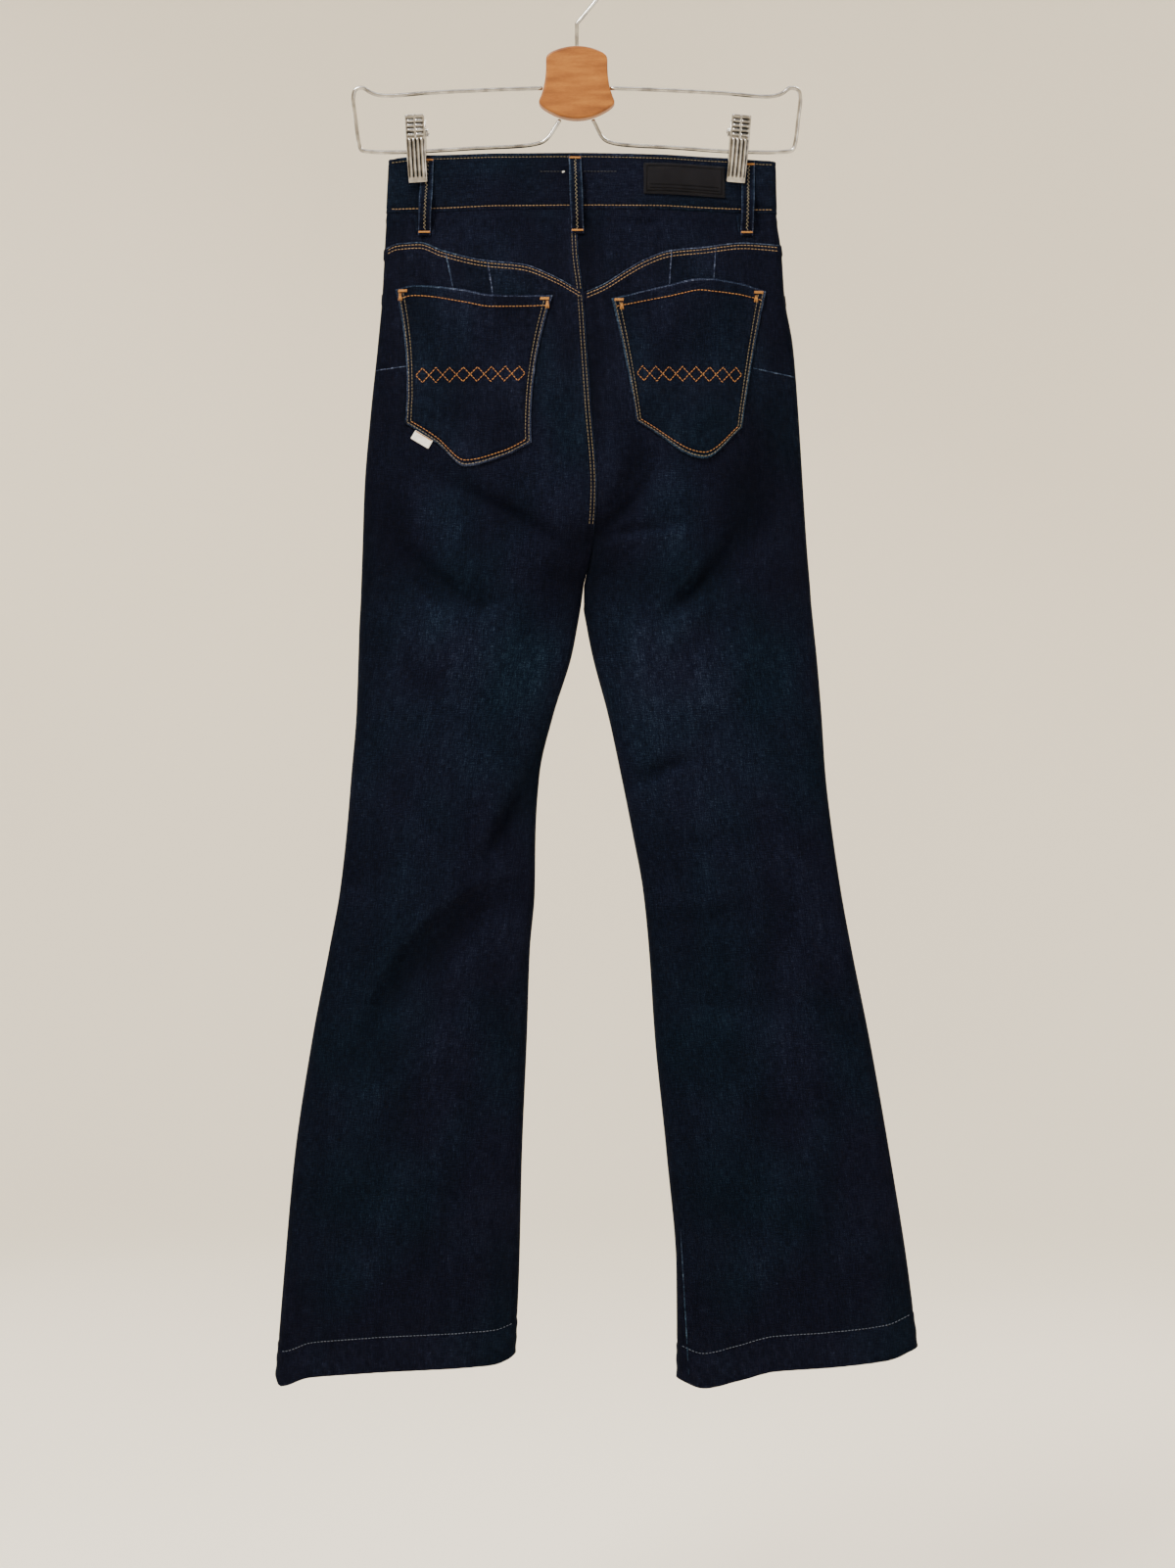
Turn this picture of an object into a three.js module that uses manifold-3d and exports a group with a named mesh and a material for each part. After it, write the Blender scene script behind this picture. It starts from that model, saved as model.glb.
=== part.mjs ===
// Flared jeans held at the waistband by the two clips of a wire trouser hanger.
// Millimetres, +Z up. The seat side of the jeans faces -Y and the fly side faces +Y.
// The wearer's left is -X. The origin is the inner crest of the hook, where it hangs on a rail.

import * as THREE from 'three';
import { mergeVertices } from 'three/addons/utils/BufferGeometryUtils.js';
import Module from 'manifold-3d';

const wasm = await Module();
wasm.setup();

const LEFT = -1;
const RIGHT = 1;
const BACK = -1;
const FRONT = 1;

// Cloth walls and the gap that sewn pieces keep to each other.
const GAP = 0.3;
const SEAM = 0.4;
const CLOTH = 1.6;
const HEM_CLOTH = 2.4;
const HEM_DEPTH = 36;
const HEM_RAISE = 0.5;
const WAIST_CLOTH = 2.6;
const WAIST_RAISE = 0.6;
const POCKET_CLOTH = 1.5;
const POCKET_LIFT = 0.4;
const POCKET_MOUTH_LIFT = 1.3;

// Heights on the garment: the waist seam's level, where the seat curve starts, and the fork.
const WAIST_SEAM_LEVEL = -225;
const SEAT_CURVE_TOP = -455;
const FORK = -562;

// Half-width places, edge rounding and half depths of the hanging jeans, from waist to hem.
const SECTIONS = [
  { z: -174, left: -169, leftInner: 0, rightInner: 0, right: 179, edge: 4, back: 5, front: 3 },
  { z: -225, left: -171.5, leftInner: 0, rightInner: 0, right: 180, edge: 4, back: 7, front: 3.5 },
  { z: -263, left: -173.5, leftInner: 1.5, rightInner: 1.5, right: 184.8, edge: 4.5, back: 11, front: 4.5 },
  { z: -301, left: -175.5, leftInner: 6, rightInner: 6, right: 187.5, edge: 5, back: 16, front: 5.5 },
  { z: -345, left: -179.5, leftInner: 9, rightInner: 9, right: 195, edge: 5, back: 20, front: 6.5 },
  { z: -404, left: -185.7, leftInner: 13, rightInner: 13, right: 199.8, edge: 5.5, back: 23, front: 8 },
  { z: -474, left: -191.5, leftInner: 18, rightInner: 18, right: 204.2, edge: 6, back: 24, front: 11 },
  { z: -528, left: -193.3, leftInner: 14, rightInner: 14, right: 207.7, edge: 6, back: 22, front: 14 },
  { z: FORK, left: -194.5, leftInner: 6.2, rightInner: 6.2, right: 210.5, edge: 6, back: 20, front: 15 },
  { z: -576, left: -195, leftInner: 4.4, rightInner: 5.6, right: 211.5, edge: 6, back: 19.5, front: 15 },
  { z: -599, left: -196.2, leftInner: 0.5, rightInner: 9, right: 213.8, edge: 6, back: 19, front: 15 },
  { z: -625, left: -197, leftInner: -4.6, rightInner: 14.2, right: 216.5, edge: 6, back: 18, front: 15 },
  { z: -678, left: -198.9, leftInner: -21.1, rightInner: 28.2, right: 220.9, edge: 6, back: 15, front: 13 },
  { z: -731, left: -203.3, leftInner: -33.4, rightInner: 39.6, right: 224.4, edge: 6, back: 13, front: 11 },
  { z: -784, left: -207.7, leftInner: -37, rightInner: 50.2, right: 230.6, edge: 6, back: 12, front: 10 },
  { z: -837, left: -213.8, leftInner: -37.8, rightInner: 59.8, right: 238.5, edge: 6, back: 12, front: 10 },
  { z: -890, left: -223.5, leftInner: -42.2, rightInner: 65.1, right: 248.2, edge: 6, back: 12, front: 10 },
  { z: -969, left: -238.5, leftInner: -44.9, rightInner: 70.4, right: 264, edge: 6, back: 12, front: 10 },
  { z: -1074, left: -254.3, leftInner: -49.3, rightInner: 81, right: 282.5, edge: 6, back: 13, front: 11 },
  { z: -1180, left: -264, leftInner: -51.9, rightInner: 89.8, right: 299.2, edge: 6, back: 14, front: 12 },
  { z: -1290, left: -272.8, leftInner: -57.5, rightInner: 90.4, right: 312, edge: 6, back: 15, front: 13 },
];

// Seam and edge heights across each panel; share runs from the side seam (0) to the centre (1).
const WAIST_TOP = [
  { x: -171, z: -178.4 },
  { x: -132, z: -174.4 },
  { x: 0, z: -174 },
  { x: 70, z: -175 },
  { x: 132, z: -177 },
  { x: 181, z: -180.6 },
];
const WAIST_SEAM = [
  { x: -173, z: -225 },
  { x: -60, z: -223.2 },
  { x: 63, z: -223 },
  { x: 181, z: -226 },
];
const YOKE_SEAM = {
  [LEFT]: [
    { share: 0, z: -259 },
    { share: 0.07, z: -253.5 },
    { share: 0.18, z: -252.5 },
    { share: 0.3, z: -260.3 },
    { share: 0.515, z: -270 },
    { share: 0.71, z: -274 },
    { share: 0.86, z: -285 },
    { share: 1, z: -300.8 },
  ],
  [RIGHT]: [
    { share: 0, z: -255 },
    { share: 0.18, z: -253 },
    { share: 0.39, z: -257.7 },
    { share: 0.55, z: -261.2 },
    { share: 0.67, z: -269 },
    { share: 0.78, z: -280 },
    { share: 0.89, z: -292 },
    { share: 1, z: -300.8 },
  ],
};
const HEM_EDGE = {
  [LEFT]: [
    { share: 0, z: -1272 },
    { share: 0.025, z: -1281 },
    { share: 0.14, z: -1272.3 },
    { share: 0.24, z: -1269.5 },
    { share: 0.5, z: -1265 },
    { share: 0.9, z: -1261.5 },
    { share: 0.97, z: -1257 },
    { share: 1, z: -1252 },
  ],
  [RIGHT]: [
    { share: 0, z: -1246 },
    { share: 0.04, z: -1250 },
    { share: 0.125, z: -1256.5 },
    { share: 0.33, z: -1261 },
    { share: 0.6, z: -1265 },
    { share: 0.75, z: -1274 },
    { share: 0.9, z: -1282 },
    { share: 0.96, z: -1278 },
    { share: 1, z: -1274 },
  ],
};

// Curved front pocket openings: how far along the waist seam, and how deep at the side seam.
// The facing behind each stops a little short of the opening's end.
const SCOOP_SHARE = 0.52;
const SCOOP_DROP = 74;
const FACING_CLOTH = 1.2;
const FACING_LAP = 8;
const FACING_SHARE = 0.47;

// The largest hanging folds, each a soft trough along a bent line from start to end.
const FOLDS = [
  { face: BACK, x0: 51, z0: -430, x1: 66, z1: -480, x2: -2, z2: -530, width: 12, depth: 7 },
  { face: BACK, x0: -125, z0: -461, x1: -70, z1: -492, x2: -4, z2: -532, width: 13, depth: 5 },
  { face: BACK, x0: -176, z0: -450, x1: -150, z1: -592, x2: -62, z2: -572, width: 15, depth: 5 },
  { face: BACK, x0: 166, z0: -394, x1: 178, z1: -562, x2: 62, z2: -574, width: 15, depth: 5 },
  { face: BACK, x0: 128, z0: -540, x1: 112, z1: -574, x2: 64, z2: -592, width: 10, depth: 3 },
  { face: BACK, x0: -36, z0: -836, x1: -130, z1: -850, x2: -198, z2: -984, width: 14, depth: 6 },
  { face: BACK, x0: -26, z0: -684, x1: -46, z1: -760, x2: -86, z2: -818, width: 12, depth: 5 },
  { face: BACK, x0: 42, z0: -742, x1: 72, z1: -724, x2: 104, z2: -720, width: 9, depth: 3.5 },
  { face: BACK, x0: 66, z0: -860, x1: 124, z1: -866, x2: 158, z2: -848, width: 10, depth: 3 },
  { face: FRONT, x0: 12, z0: -480, x1: 60, z1: -500, x2: 130, z2: -478, width: 12, depth: 4 },
  { face: FRONT, x0: 8, z0: -500, x1: -50, z1: -508, x2: -118, z2: -484, width: 12, depth: 4 },
  { face: FRONT, x0: 6, z0: -540, x1: 50, z1: -548, x2: 100, z2: -590, width: 12, depth: 4 },
  { face: FRONT, x0: 4, z0: -536, x1: -40, z1: -550, x2: -96, z2: -600, width: 12, depth: 4 },
  { face: FRONT, x0: -44, z0: -830, x1: -120, z1: -862, x2: -196, z2: -950, width: 14, depth: 4 },
  { face: FRONT, x0: 62, z0: -812, x1: 110, z1: -842, x2: 190, z2: -846, width: 13, depth: 4 },
];
const FOLD_STEPS = 8;
const FOLD_END_SHARE = 0.08;
const FOLD_AT_EDGE = 0.3;

// Back patch pockets: side places at mouth, middle and foot, and the mouth and foot edges.
const POCKETS = {
  [LEFT]: {
    outer: [-161.9, -152.5, -153.1],
    inner: [-22, -37.5, -40.5],
    mouth: [
      { share: 0, z: -296.4 },
      { share: 0.11, z: -293 },
      { share: 0.43, z: -298 },
      { share: 0.62, z: -303.2 },
      { share: 1, z: -304.2 },
    ],
    foot: [
      { share: 0, z: -416.1 },
      { share: 0.25, z: -434.5 },
      { share: 0.48, z: -455.7 },
      { share: 0.78, z: -447.7 },
      { share: 1, z: -435.4 },
    ],
  },
  [RIGHT]: {
    outer: [169, 157, 147],
    inner: [31.7, 44, 53.7],
    mouth: [
      { share: 0, z: -298.1 },
      { share: 0.18, z: -291.1 },
      { share: 0.41, z: -287.6 },
      { share: 0.64, z: -294.6 },
      { share: 1, z: -306.9 },
    ],
    foot: [
      { share: 0, z: -421 },
      { share: 0.36, z: -449.1 },
      { share: 1, z: -416 },
    ],
  },
};

// Belt loops: place, the height where the strip starts to stand off, and its side of the jeans.
const LOOP_WIDTH = 10.5;
const LOOP_CLOTH = 1.8;
const LOOP_STAND = 5.6;
const LOOP_FOOT = -246;
const LOOP_SEAT = 0.5;
const LOOP_RAMP = 16;
const LOOP_SEWN = 3;
const LOOPS = [
  { name: 'loop_back_left', face: BACK, topX: -134.2, footX: -137.2, rise: -201 },
  { name: 'loop_back_centre', face: BACK, topX: -1.6, footX: 0.8, rise: -180 },
  { name: 'loop_back_right', face: BACK, topX: 155, footX: 153, rise: -201 },
  { name: 'loop_front_left', face: FRONT, topX: -88, footX: -89, rise: -180 },
  { name: 'loop_front_right', face: FRONT, topX: 92, footX: 93, rise: -180 },
];

// Patch on the waistband and the small woven tab at the left back pocket.
const PATCH = { inner: 60.7, outer: 133, top: -182.6, foot: -209.8, cloth: 1.2, slope: 0.03, lift: 0.7 };
const TAB = { x: -140, z: -431.4, width: 18, height: 8, angle: -0.55, cloth: 0.8, lift: 0.4 };

// Fly: flap over the centre front, the zip behind it, and the waist button.
const FLY = { over: 16, under: 22, length: 168, shortening: 34, taper: 0.25, lift: 0.3 };
const ZIP = { half: 11, length: 150, drop: 1, cloth: 1.2 };
const WAIST_OVERLAP = { over: 18, under: -20, rampFrom: 20, ramp: 45 };
const BUTTON = { x: 3, z: -199, radius: 8.5, height: 4 };

// Hanger.
const WIRE_RADIUS = 1.8;
const HOOK = { radius: 22, wire: 1.75, bend: -54.5, foot: -75.2, lean: 50, tip: 190 };
const BLOCK = {
  topHalf: 28, waistHalf: 27, footHalf: 35.5, crown: -75.5, shoulder: -83.5,
  waist: -103, foot: -127.5, belly: -141.5, depth: 13, bevel: 2,
};
const WIRES = {
  [LEFT]: [
    { x: -31.6, z: -112.6 }, { x: -70, z: -113.8 }, { x: -130, z: -116.6 }, { x: -176, z: -119.2 },
    { x: -186, z: -116.4 }, { x: -193, z: -112.4 }, { x: -199.5, z: -114 }, { x: -201.6, z: -121 },
    { x: -199.6, z: -140 }, { x: -196.6, z: -162 }, { x: -194.4, z: -168.2 }, { x: -187, z: -169.8 },
    { x: -154.9, z: -170.2 }, { x: -95, z: -167 }, { x: -38, z: -163.2 }, { x: -28, z: -159.2 },
    { x: -15.4, z: -141.6 },
  ],
  [RIGHT]: [
    { x: 30.6, z: -112.6 }, { x: 70, z: -114 }, { x: 130, z: -117 }, { x: 175, z: -120 },
    { x: 185, z: -117.4 }, { x: 192.6, z: -112.4 }, { x: 199.4, z: -114 }, { x: 201.6, z: -121 },
    { x: 199.8, z: -140 }, { x: 197, z: -162 }, { x: 194.6, z: -168.2 }, { x: 187, z: -169.9 },
    { x: 136.9, z: -169.7 }, { x: 90, z: -166.4 }, { x: 33, z: -162.2 }, { x: 24, z: -158 },
    { x: 14.8, z: -141.6 },
  ],
};
const CLIP = {
  width: 17.5, sheet: 1.2, top: 30, foot: -29, rib: 0.7, ribWidth: 1.3, ribStep: 3.6,
  ridgeWidth: 12.5, ridgeHeight: 1.6, sleeve: 4.8, sleeveHalf: 5.5, slack: 0.6,
};
const CLIP_RIDGES = [24.7, 20.5, 16.3, 12.1];
// A jaw's side view: distance from the jeans' middle plane, and height from the wire.
const JAW = {
  topAway: 12.6, bulgeAway: 13.6, bulge: 9, bendAway: 13, bend: -8, lip: 2.2,
  cheek: 2.5, cheekTop: 6, cheekFoot: -3, gripTop: -4, shoulderAway: 10, proud: 0.6, inset: 0.7,
};
const CLIPS = [
  { name: 'clip_left', x: -144.2, z: -169.65, tilt: -0.053 },
  { name: 'clip_right', x: 145.6, z: -169.8, tilt: 0.087 },
];
const CLIP_PINCH = { half: 16, fadeOut: 34, fadeIn: 75, from: -205, to: -285 };

// Numbers of cells across and down the cloth walls.
const EDGE_SHARE = 0.1;
const MIDDLE_COLUMNS = 7;
const SEAT_ROWS = 11;
const LEG_ROWS = 19;
const HEM_ROWS = 2;
const WAIST_STEP = 14;
const WAIST_MIDDLE = -200;

const DENIM = new THREE.MeshStandardMaterial({ color: 0x141b2c, roughness: 0.92, metalness: 0 });
const PATCH_FINISH = new THREE.MeshStandardMaterial({ color: 0x20222f, roughness: 0.6, metalness: 0 });
const TAB_FINISH = new THREE.MeshStandardMaterial({ color: 0xdad8d2, roughness: 0.8, metalness: 0 });
const CHROME = new THREE.MeshStandardMaterial({ color: 0xc6c8ca, roughness: 0.2, metalness: 1 });
const BEECH = new THREE.MeshStandardMaterial({ color: 0xbe8246, roughness: 0.5, metalness: 0 });
const BRASS = new THREE.MeshStandardMaterial({ color: 0x8b7a55, roughness: 0.35, metalness: 1 });
const ZIP_FINISH = new THREE.MeshStandardMaterial({ color: 0x1a1e2a, roughness: 0.8, metalness: 0 });

const mix = (a, b, t) => a + (b - a) * t;
const clamp = (value, low, high) => Math.min(Math.max(value, low), high);
const smooth = (from, to, value) => {
  const t = clamp((value - from) / (to - from), 0, 1);
  return t * t * (3 - 2 * t);
};

// A curve through a table's rows that doesn't overshoot between them.
function tableCurve(table, key, column) {
  const rows = [...table].sort((a, b) => a[key] - b[key]);
  const steps = rows.slice(1).map((row, i) => (row[column] - rows[i][column]) / (row[key] - rows[i][key]));
  const slopes = rows.map((row, i) => {
    const before = steps[i - 1];
    const after = steps[i];
    if (before === undefined || after === undefined) return before ?? after;
    return before * after > 0 ? (2 * before * after) / (before + after) : 0;
  });
  return (at) => {
    const place = clamp(at, rows[0][key], rows[rows.length - 1][key]);
    let i = 0;
    while (i < rows.length - 2 && place > rows[i + 1][key]) i += 1;
    const span = rows[i + 1][key] - rows[i][key];
    const t = (place - rows[i][key]) / span;
    const start = rows[i][column] * (1 + 2 * t) * (1 - t) ** 2;
    const end = rows[i + 1][column] * (3 - 2 * t) * t ** 2;
    return start + end + slopes[i] * span * t * (1 - t) ** 2 + slopes[i + 1] * span * t ** 2 * (t - 1);
  };
}

const section = Object.fromEntries(
  ['left', 'leftInner', 'rightInner', 'right', 'edge', 'back', 'front'].map((column) => [
    column,
    tableCurve(SECTIONS, 'z', column),
  ]),
);
const waistTop = tableCurve(WAIST_TOP, 'x', 'z');
const waistSeam = tableCurve(WAIST_SEAM, 'x', 'z');
const bySide = (tables) => ({
  [LEFT]: tableCurve(tables[LEFT], 'share', 'z'),
  [RIGHT]: tableCurve(tables[RIGHT], 'share', 'z'),
});
const yokeSeam = bySide(YOKE_SEAM);
const hemEdge = bySide(HEM_EDGE);

const outerEdge = (side, z) => (side === LEFT ? section.left(z) : section.right(z));
const innerEdge = (side, z) => (side === LEFT ? section.leftInner(z) : section.rightInner(z));
const centre = (z) => innerEdge(LEFT, Math.max(z, FORK));
const sideOf = (x, z) => (x < centre(z) ? LEFT : RIGHT);

// How far the seat has turned under into two legs: 0 above the seat curve, 1 at the fork.
function legShare(z) {
  const t = clamp((SEAT_CURVE_TOP - z) / (SEAT_CURVE_TOP - FORK), 0, 1);
  return 1 - (1 - t * t) ** 0.6;
}

// The depth of every fold trough at a place on one face.
function foldAt(face, x, z) {
  let depth = 0;
  for (const fold of FOLDS.filter((row) => row.face === face)) {
    let nearest = Infinity;
    let along = 0;
    for (let i = 0; i <= FOLD_STEPS; i += 1) {
      const t = i / FOLD_STEPS;
      const px = mix(mix(fold.x0, fold.x1, t), mix(fold.x1, fold.x2, t), t);
      const pz = mix(mix(fold.z0, fold.z1, t), mix(fold.z1, fold.z2, t), t);
      const away = Math.hypot(x - px, z - pz);
      if (away < nearest) {
        nearest = away;
        along = t;
      }
    }
    const ends = Math.sin(Math.PI * mix(FOLD_END_SHARE, 1 - FOLD_END_SHARE, along));
    depth += fold.depth * ends * Math.exp(-((nearest / fold.width) ** 2));
  }
  return depth;
}

// The quarter-round rise from an edge at distance from it.
const edgeRise = (distance, radius) => {
  const t = clamp(distance / radius, 0, 1);
  return Math.sqrt(1 - (1 - t) ** 2);
};

// How far the outer face of the cloth stands from the middle plane, y = 0.
function halfDepth(side, face, x, z) {
  const outer = outerEdge(side, z);
  const inner = innerEdge(side, z);
  const share = clamp((x - outer) / (inner - outer), 0, 1);
  const radius = section.edge(z);
  const leg = legShare(z);
  const outerRise = edgeRise(Math.abs(x - outer), radius);
  const innerRise = mix(1, edgeRise(Math.abs(inner - x), radius), leg);
  const bow = mix(1 - (1 - share) ** 2, 4 * share * (1 - share), leg);
  const depth = (face === BACK ? section.back : section.front)(z);
  const rise = outerRise * innerRise;
  const foldShare = rise * mix(FOLD_AT_EDGE, 1, clamp(bow * 2, 0, 1));
  const full = radius * rise + depth * bow - foldAt(face, x, z) * foldShare;
  const gripped = CLIPS.reduce((most, clip) => {
    const fade = Math.abs(x) > Math.abs(clip.x) ? CLIP_PINCH.fadeOut : CLIP_PINCH.fadeIn;
    const near = 1 - smooth(CLIP_PINCH.half, fade, Math.abs(x - clip.x));
    return Math.max(most, near * smooth(CLIP_PINCH.to, CLIP_PINCH.from, z));
  }, 0);
  const least = (WAIST_CLOTH - WAIST_RAISE + GAP / 2) * rise;
  return Math.max(mix(full, least, gripped), least);
}

const clothPoint = (side, face, x, z) =>
  new THREE.Vector3(x, face * (GAP / 2 + halfDepth(side, face, x, z)), z);

// Outward direction of the cloth away from its rounded edges.
function clothNormal(side, face, x, z) {
  const step = 2;
  const acrossX = (halfDepth(side, face, x + step, z) - halfDepth(side, face, x - step, z)) / (2 * step);
  const acrossZ = (halfDepth(side, face, x, z + step) - halfDepth(side, face, x, z - step)) / (2 * step);
  return new THREE.Vector3(-acrossX, face, -acrossZ).normalize();
}

// A closed wall between two grids of points, both given row by row.
function wallBetween(outer, inner) {
  const rows = outer.length;
  const columns = outer[0].length;
  const points = [...outer.flat(), ...inner.flat()];
  const at = (layer, i, j) => layer * rows * columns + i * columns + j;
  const faces = [];
  const quad = (a, b, c, d) => faces.push(a, b, c, a, c, d);
  for (let i = 0; i < rows - 1; i += 1) {
    for (let j = 0; j < columns - 1; j += 1) {
      quad(at(0, i, j), at(0, i + 1, j), at(0, i + 1, j + 1), at(0, i, j + 1));
      quad(at(1, i, j), at(1, i, j + 1), at(1, i + 1, j + 1), at(1, i + 1, j));
    }
    quad(at(0, i + 1, 0), at(0, i, 0), at(1, i, 0), at(1, i + 1, 0));
    const end = columns - 1;
    quad(at(0, i, end), at(0, i + 1, end), at(1, i + 1, end), at(1, i, end));
  }
  for (let j = 0; j < columns - 1; j += 1) {
    quad(at(0, 0, j), at(0, 0, j + 1), at(1, 0, j + 1), at(1, 0, j));
    quad(at(0, rows - 1, j + 1), at(0, rows - 1, j), at(1, rows - 1, j), at(1, rows - 1, j + 1));
  }
  return facedOut(points, faces);
}

// A geometry whose faces point out, whichever way round its grid ran.
function facedOut(points, faces) {
  let volume = 0;
  for (let i = 0; i < faces.length; i += 3) {
    const [a, b, c] = [points[faces[i]], points[faces[i + 1]], points[faces[i + 2]]];
    volume += a.dot(new THREE.Vector3().crossVectors(b, c));
  }
  const turned = volume < 0 ? faces.toReversed() : faces;
  const geometry = new THREE.BufferGeometry().setFromPoints(points);
  geometry.setIndex(turned);
  return geometry;
}

// Unit normals of a grid; ghosts give the points just past each row's two ends.
function gridNormals(grid, ghosts, outward) {
  const normals = grid.map((row, i) =>
    row.map((point, j) => {
      const [before, after] = ghosts(i);
      const previous = j > 0 ? row[j - 1] : before ?? point;
      const next = j < row.length - 1 ? row[j + 1] : after ?? point;
      const above = grid[Math.max(i - 1, 0)][j];
      const below = grid[Math.min(i + 1, grid.length - 1)][j];
      const across = new THREE.Vector3().subVectors(next, previous);
      const down = new THREE.Vector3().subVectors(below, above);
      return across.cross(down).normalize();
    }),
  );
  const middle = normals[Math.floor(grid.length / 2)][Math.floor(grid[0].length / 2)];
  const turn = middle.dot(outward) < 0 ? -1 : 1;
  return normals.map((row) => row.map((normal) => normal.multiplyScalar(turn)));
}

// Places across a panel, close together on its rounded edges.
function panelColumns(side, z) {
  const outer = outerEdge(side, z);
  const inner = innerEdge(side, z);
  const reach = Math.abs(inner - outer);
  const radius = section.edge(z);
  const round = radius * (1 - Math.SQRT1_2);
  const middle = Array.from(
    { length: MIDDLE_COLUMNS + 1 },
    (_, j) => mix(radius, reach - radius, j / MIDDLE_COLUMNS),
  );
  const distances = [0, round, ...middle, reach - round, reach];
  return distances.map((distance) => mix(outer, inner, distance / reach));
}

// A leg or yoke wall made of bands, each from a top edge to a foot edge given as heights by share.
function panelWall(side, face, bands) {
  const grid = [];
  const rises = [];
  for (const band of bands) {
    for (let i = band.first ? 0 : 1; i <= band.rows; i += 1) {
      const t = i / band.rows;
      const rough = mix(band.top(0.5), band.foot(0.5), t);
      const count = panelColumns(side, rough).length;
      const row = [];
      for (let j = 0; j < count; j += 1) {
        const outer = outerEdge(side, rough);
        const share = (panelColumns(side, rough)[j] - outer) / (innerEdge(side, rough) - outer);
        const z = mix(band.top(share), band.foot(share), t);
        row.push(clothPoint(side, face, panelColumns(side, z)[j], z));
      }
      grid.push(row);
      rises.push(band.raised ? HEM_RAISE : 0);
    }
  }
  const mirrored = (point) => new THREE.Vector3(point.x, -point.y, point.z);
  const ghosts = (i) => {
    const row = grid[i];
    const last = row.length - 1;
    const leg = legShare(row[last].z);
    const before = mirrored(row[1]);
    if (leg >= 1) return [before, mirrored(row[last - 1])];
    if (leg > 0) return [before, null];
    const across = new THREE.Vector3(2 * row[last].x - row[last - 1].x, row[last - 1].y, row[last - 1].z);
    return [before, across];
  };
  const normals = gridNormals(grid, ghosts, new THREE.Vector3(0, face, 0));
  const kept = (point) => {
    const middle = centre(point.z);
    const y = face === BACK ? Math.min(point.y, -GAP / 2) : Math.max(point.y, GAP / 2);
    const low = side === LEFT ? -Infinity : middle + GAP / 2;
    const high = side === LEFT ? middle - GAP / 2 : Infinity;
    const x = point.z > FORK - 20 ? clamp(point.x, low, high) : point.x;
    return new THREE.Vector3(x, y, point.z);
  };
  const moved = (amount) =>
    grid.map((row, i) =>
      row.map((point, j) => {
        const away = point.clone().addScaledVector(normals[i][j], amount(i));
        const atSeam = i === 0 || i === grid.length - 1;
        return kept(atSeam ? away.setZ(point.z) : away);
      }),
    );
  const outer = moved((i) => rises[i]);
  const inner = moved((i) => rises[i] - (rises[i] > 0 ? HEM_CLOTH : CLOTH));
  return wallBetween(outer, inner);
}

const belowWaistSeam = (side) => (share) => waistSeam(waistX(side, share)) - SEAM;
const waistX = (side, share) =>
  mix(outerEdge(side, WAIST_SEAM_LEVEL), innerEdge(side, WAIST_SEAM_LEVEL), share);
const scoopDrop = (share) => SCOOP_DROP * (1 - clamp(share / SCOOP_SHARE, 0, 1) ** 2) ** 0.75;
const forkLine = () => FORK;
const hemLine = (side) => (share) => hemEdge[side](share) + HEM_DEPTH;
const level = (edge, by) => (share) => edge(share) - by;

const legBands = (side) => [
  { top: forkLine, foot: hemLine(side), rows: LEG_ROWS },
  { top: hemLine(side), foot: level(hemLine(side), 1), rows: 1, raised: true },
  { top: level(hemLine(side), 1), foot: hemEdge[side], rows: HEM_ROWS, raised: true },
];

function backPanel(side) {
  const top = level(yokeSeam[side], SEAM);
  return panelWall(side, BACK, [
    { top, foot: forkLine, rows: SEAT_ROWS, first: true },
    ...legBands(side),
  ]);
}

function frontPanel(side) {
  const top = (share) => belowWaistSeam(side)(share) - scoopDrop(share);
  return panelWall(side, FRONT, [
    { top, foot: forkLine, rows: SEAT_ROWS + 2, first: true },
    ...legBands(side),
  ]);
}

function yokePanel(side) {
  const top = belowWaistSeam(side);
  return panelWall(side, BACK, [{ top, foot: yokeSeam[side], rows: 3, first: true }]);
}

// A piece that lies on a panel: xAt and zAt place its grid, lift is its distance from the panel.
function patchWall({ face, rows, columns, xAt, zAt, lift, cloth }) {
  const outer = [];
  const inner = [];
  for (let i = 0; i <= rows; i += 1) {
    const outerRow = [];
    const innerRow = [];
    for (let j = 0; j <= columns; j += 1) {
      const down = i / rows;
      const across = j / columns;
      const z = zAt(across, down);
      const x = xAt(across, down, z);
      const side = sideOf(x, z);
      const point = clothPoint(side, face, x, z);
      const normal = clothNormal(side, face, x, z);
      const away = lift(across, down);
      innerRow.push(point.clone().addScaledVector(normal, away));
      outerRow.push(point.clone().addScaledVector(normal, away + cloth));
    }
    outer.push(outerRow);
    inner.push(innerRow);
  }
  return wallBetween(outer, inner);
}

// The visible part of the pocket bag inside a curved front pocket opening.
function pocketFacing(side) {
  const seamZ = belowWaistSeam(side);
  return patchWall({
    face: FRONT,
    rows: 5,
    columns: 6,
    xAt: (across, down, z) => {
      const outer = outerEdge(side, z) - side * section.edge(z);
      return mix(outer, innerEdge(side, z), across * FACING_SHARE);
    },
    zAt: (across, down) => {
      const share = across * FACING_SHARE;
      return mix(seamZ(share), seamZ(share) - scoopDrop(share) - FACING_LAP, down);
    },
    lift: () => -CLOTH - GAP - FACING_CLOTH,
    cloth: FACING_CLOTH,
  });
}

const threePoints = ([a, b, c], t) =>
  a * (1 - t) * (1 - 2 * t) + 4 * b * t * (1 - t) + c * t * (2 * t - 1);

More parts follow.
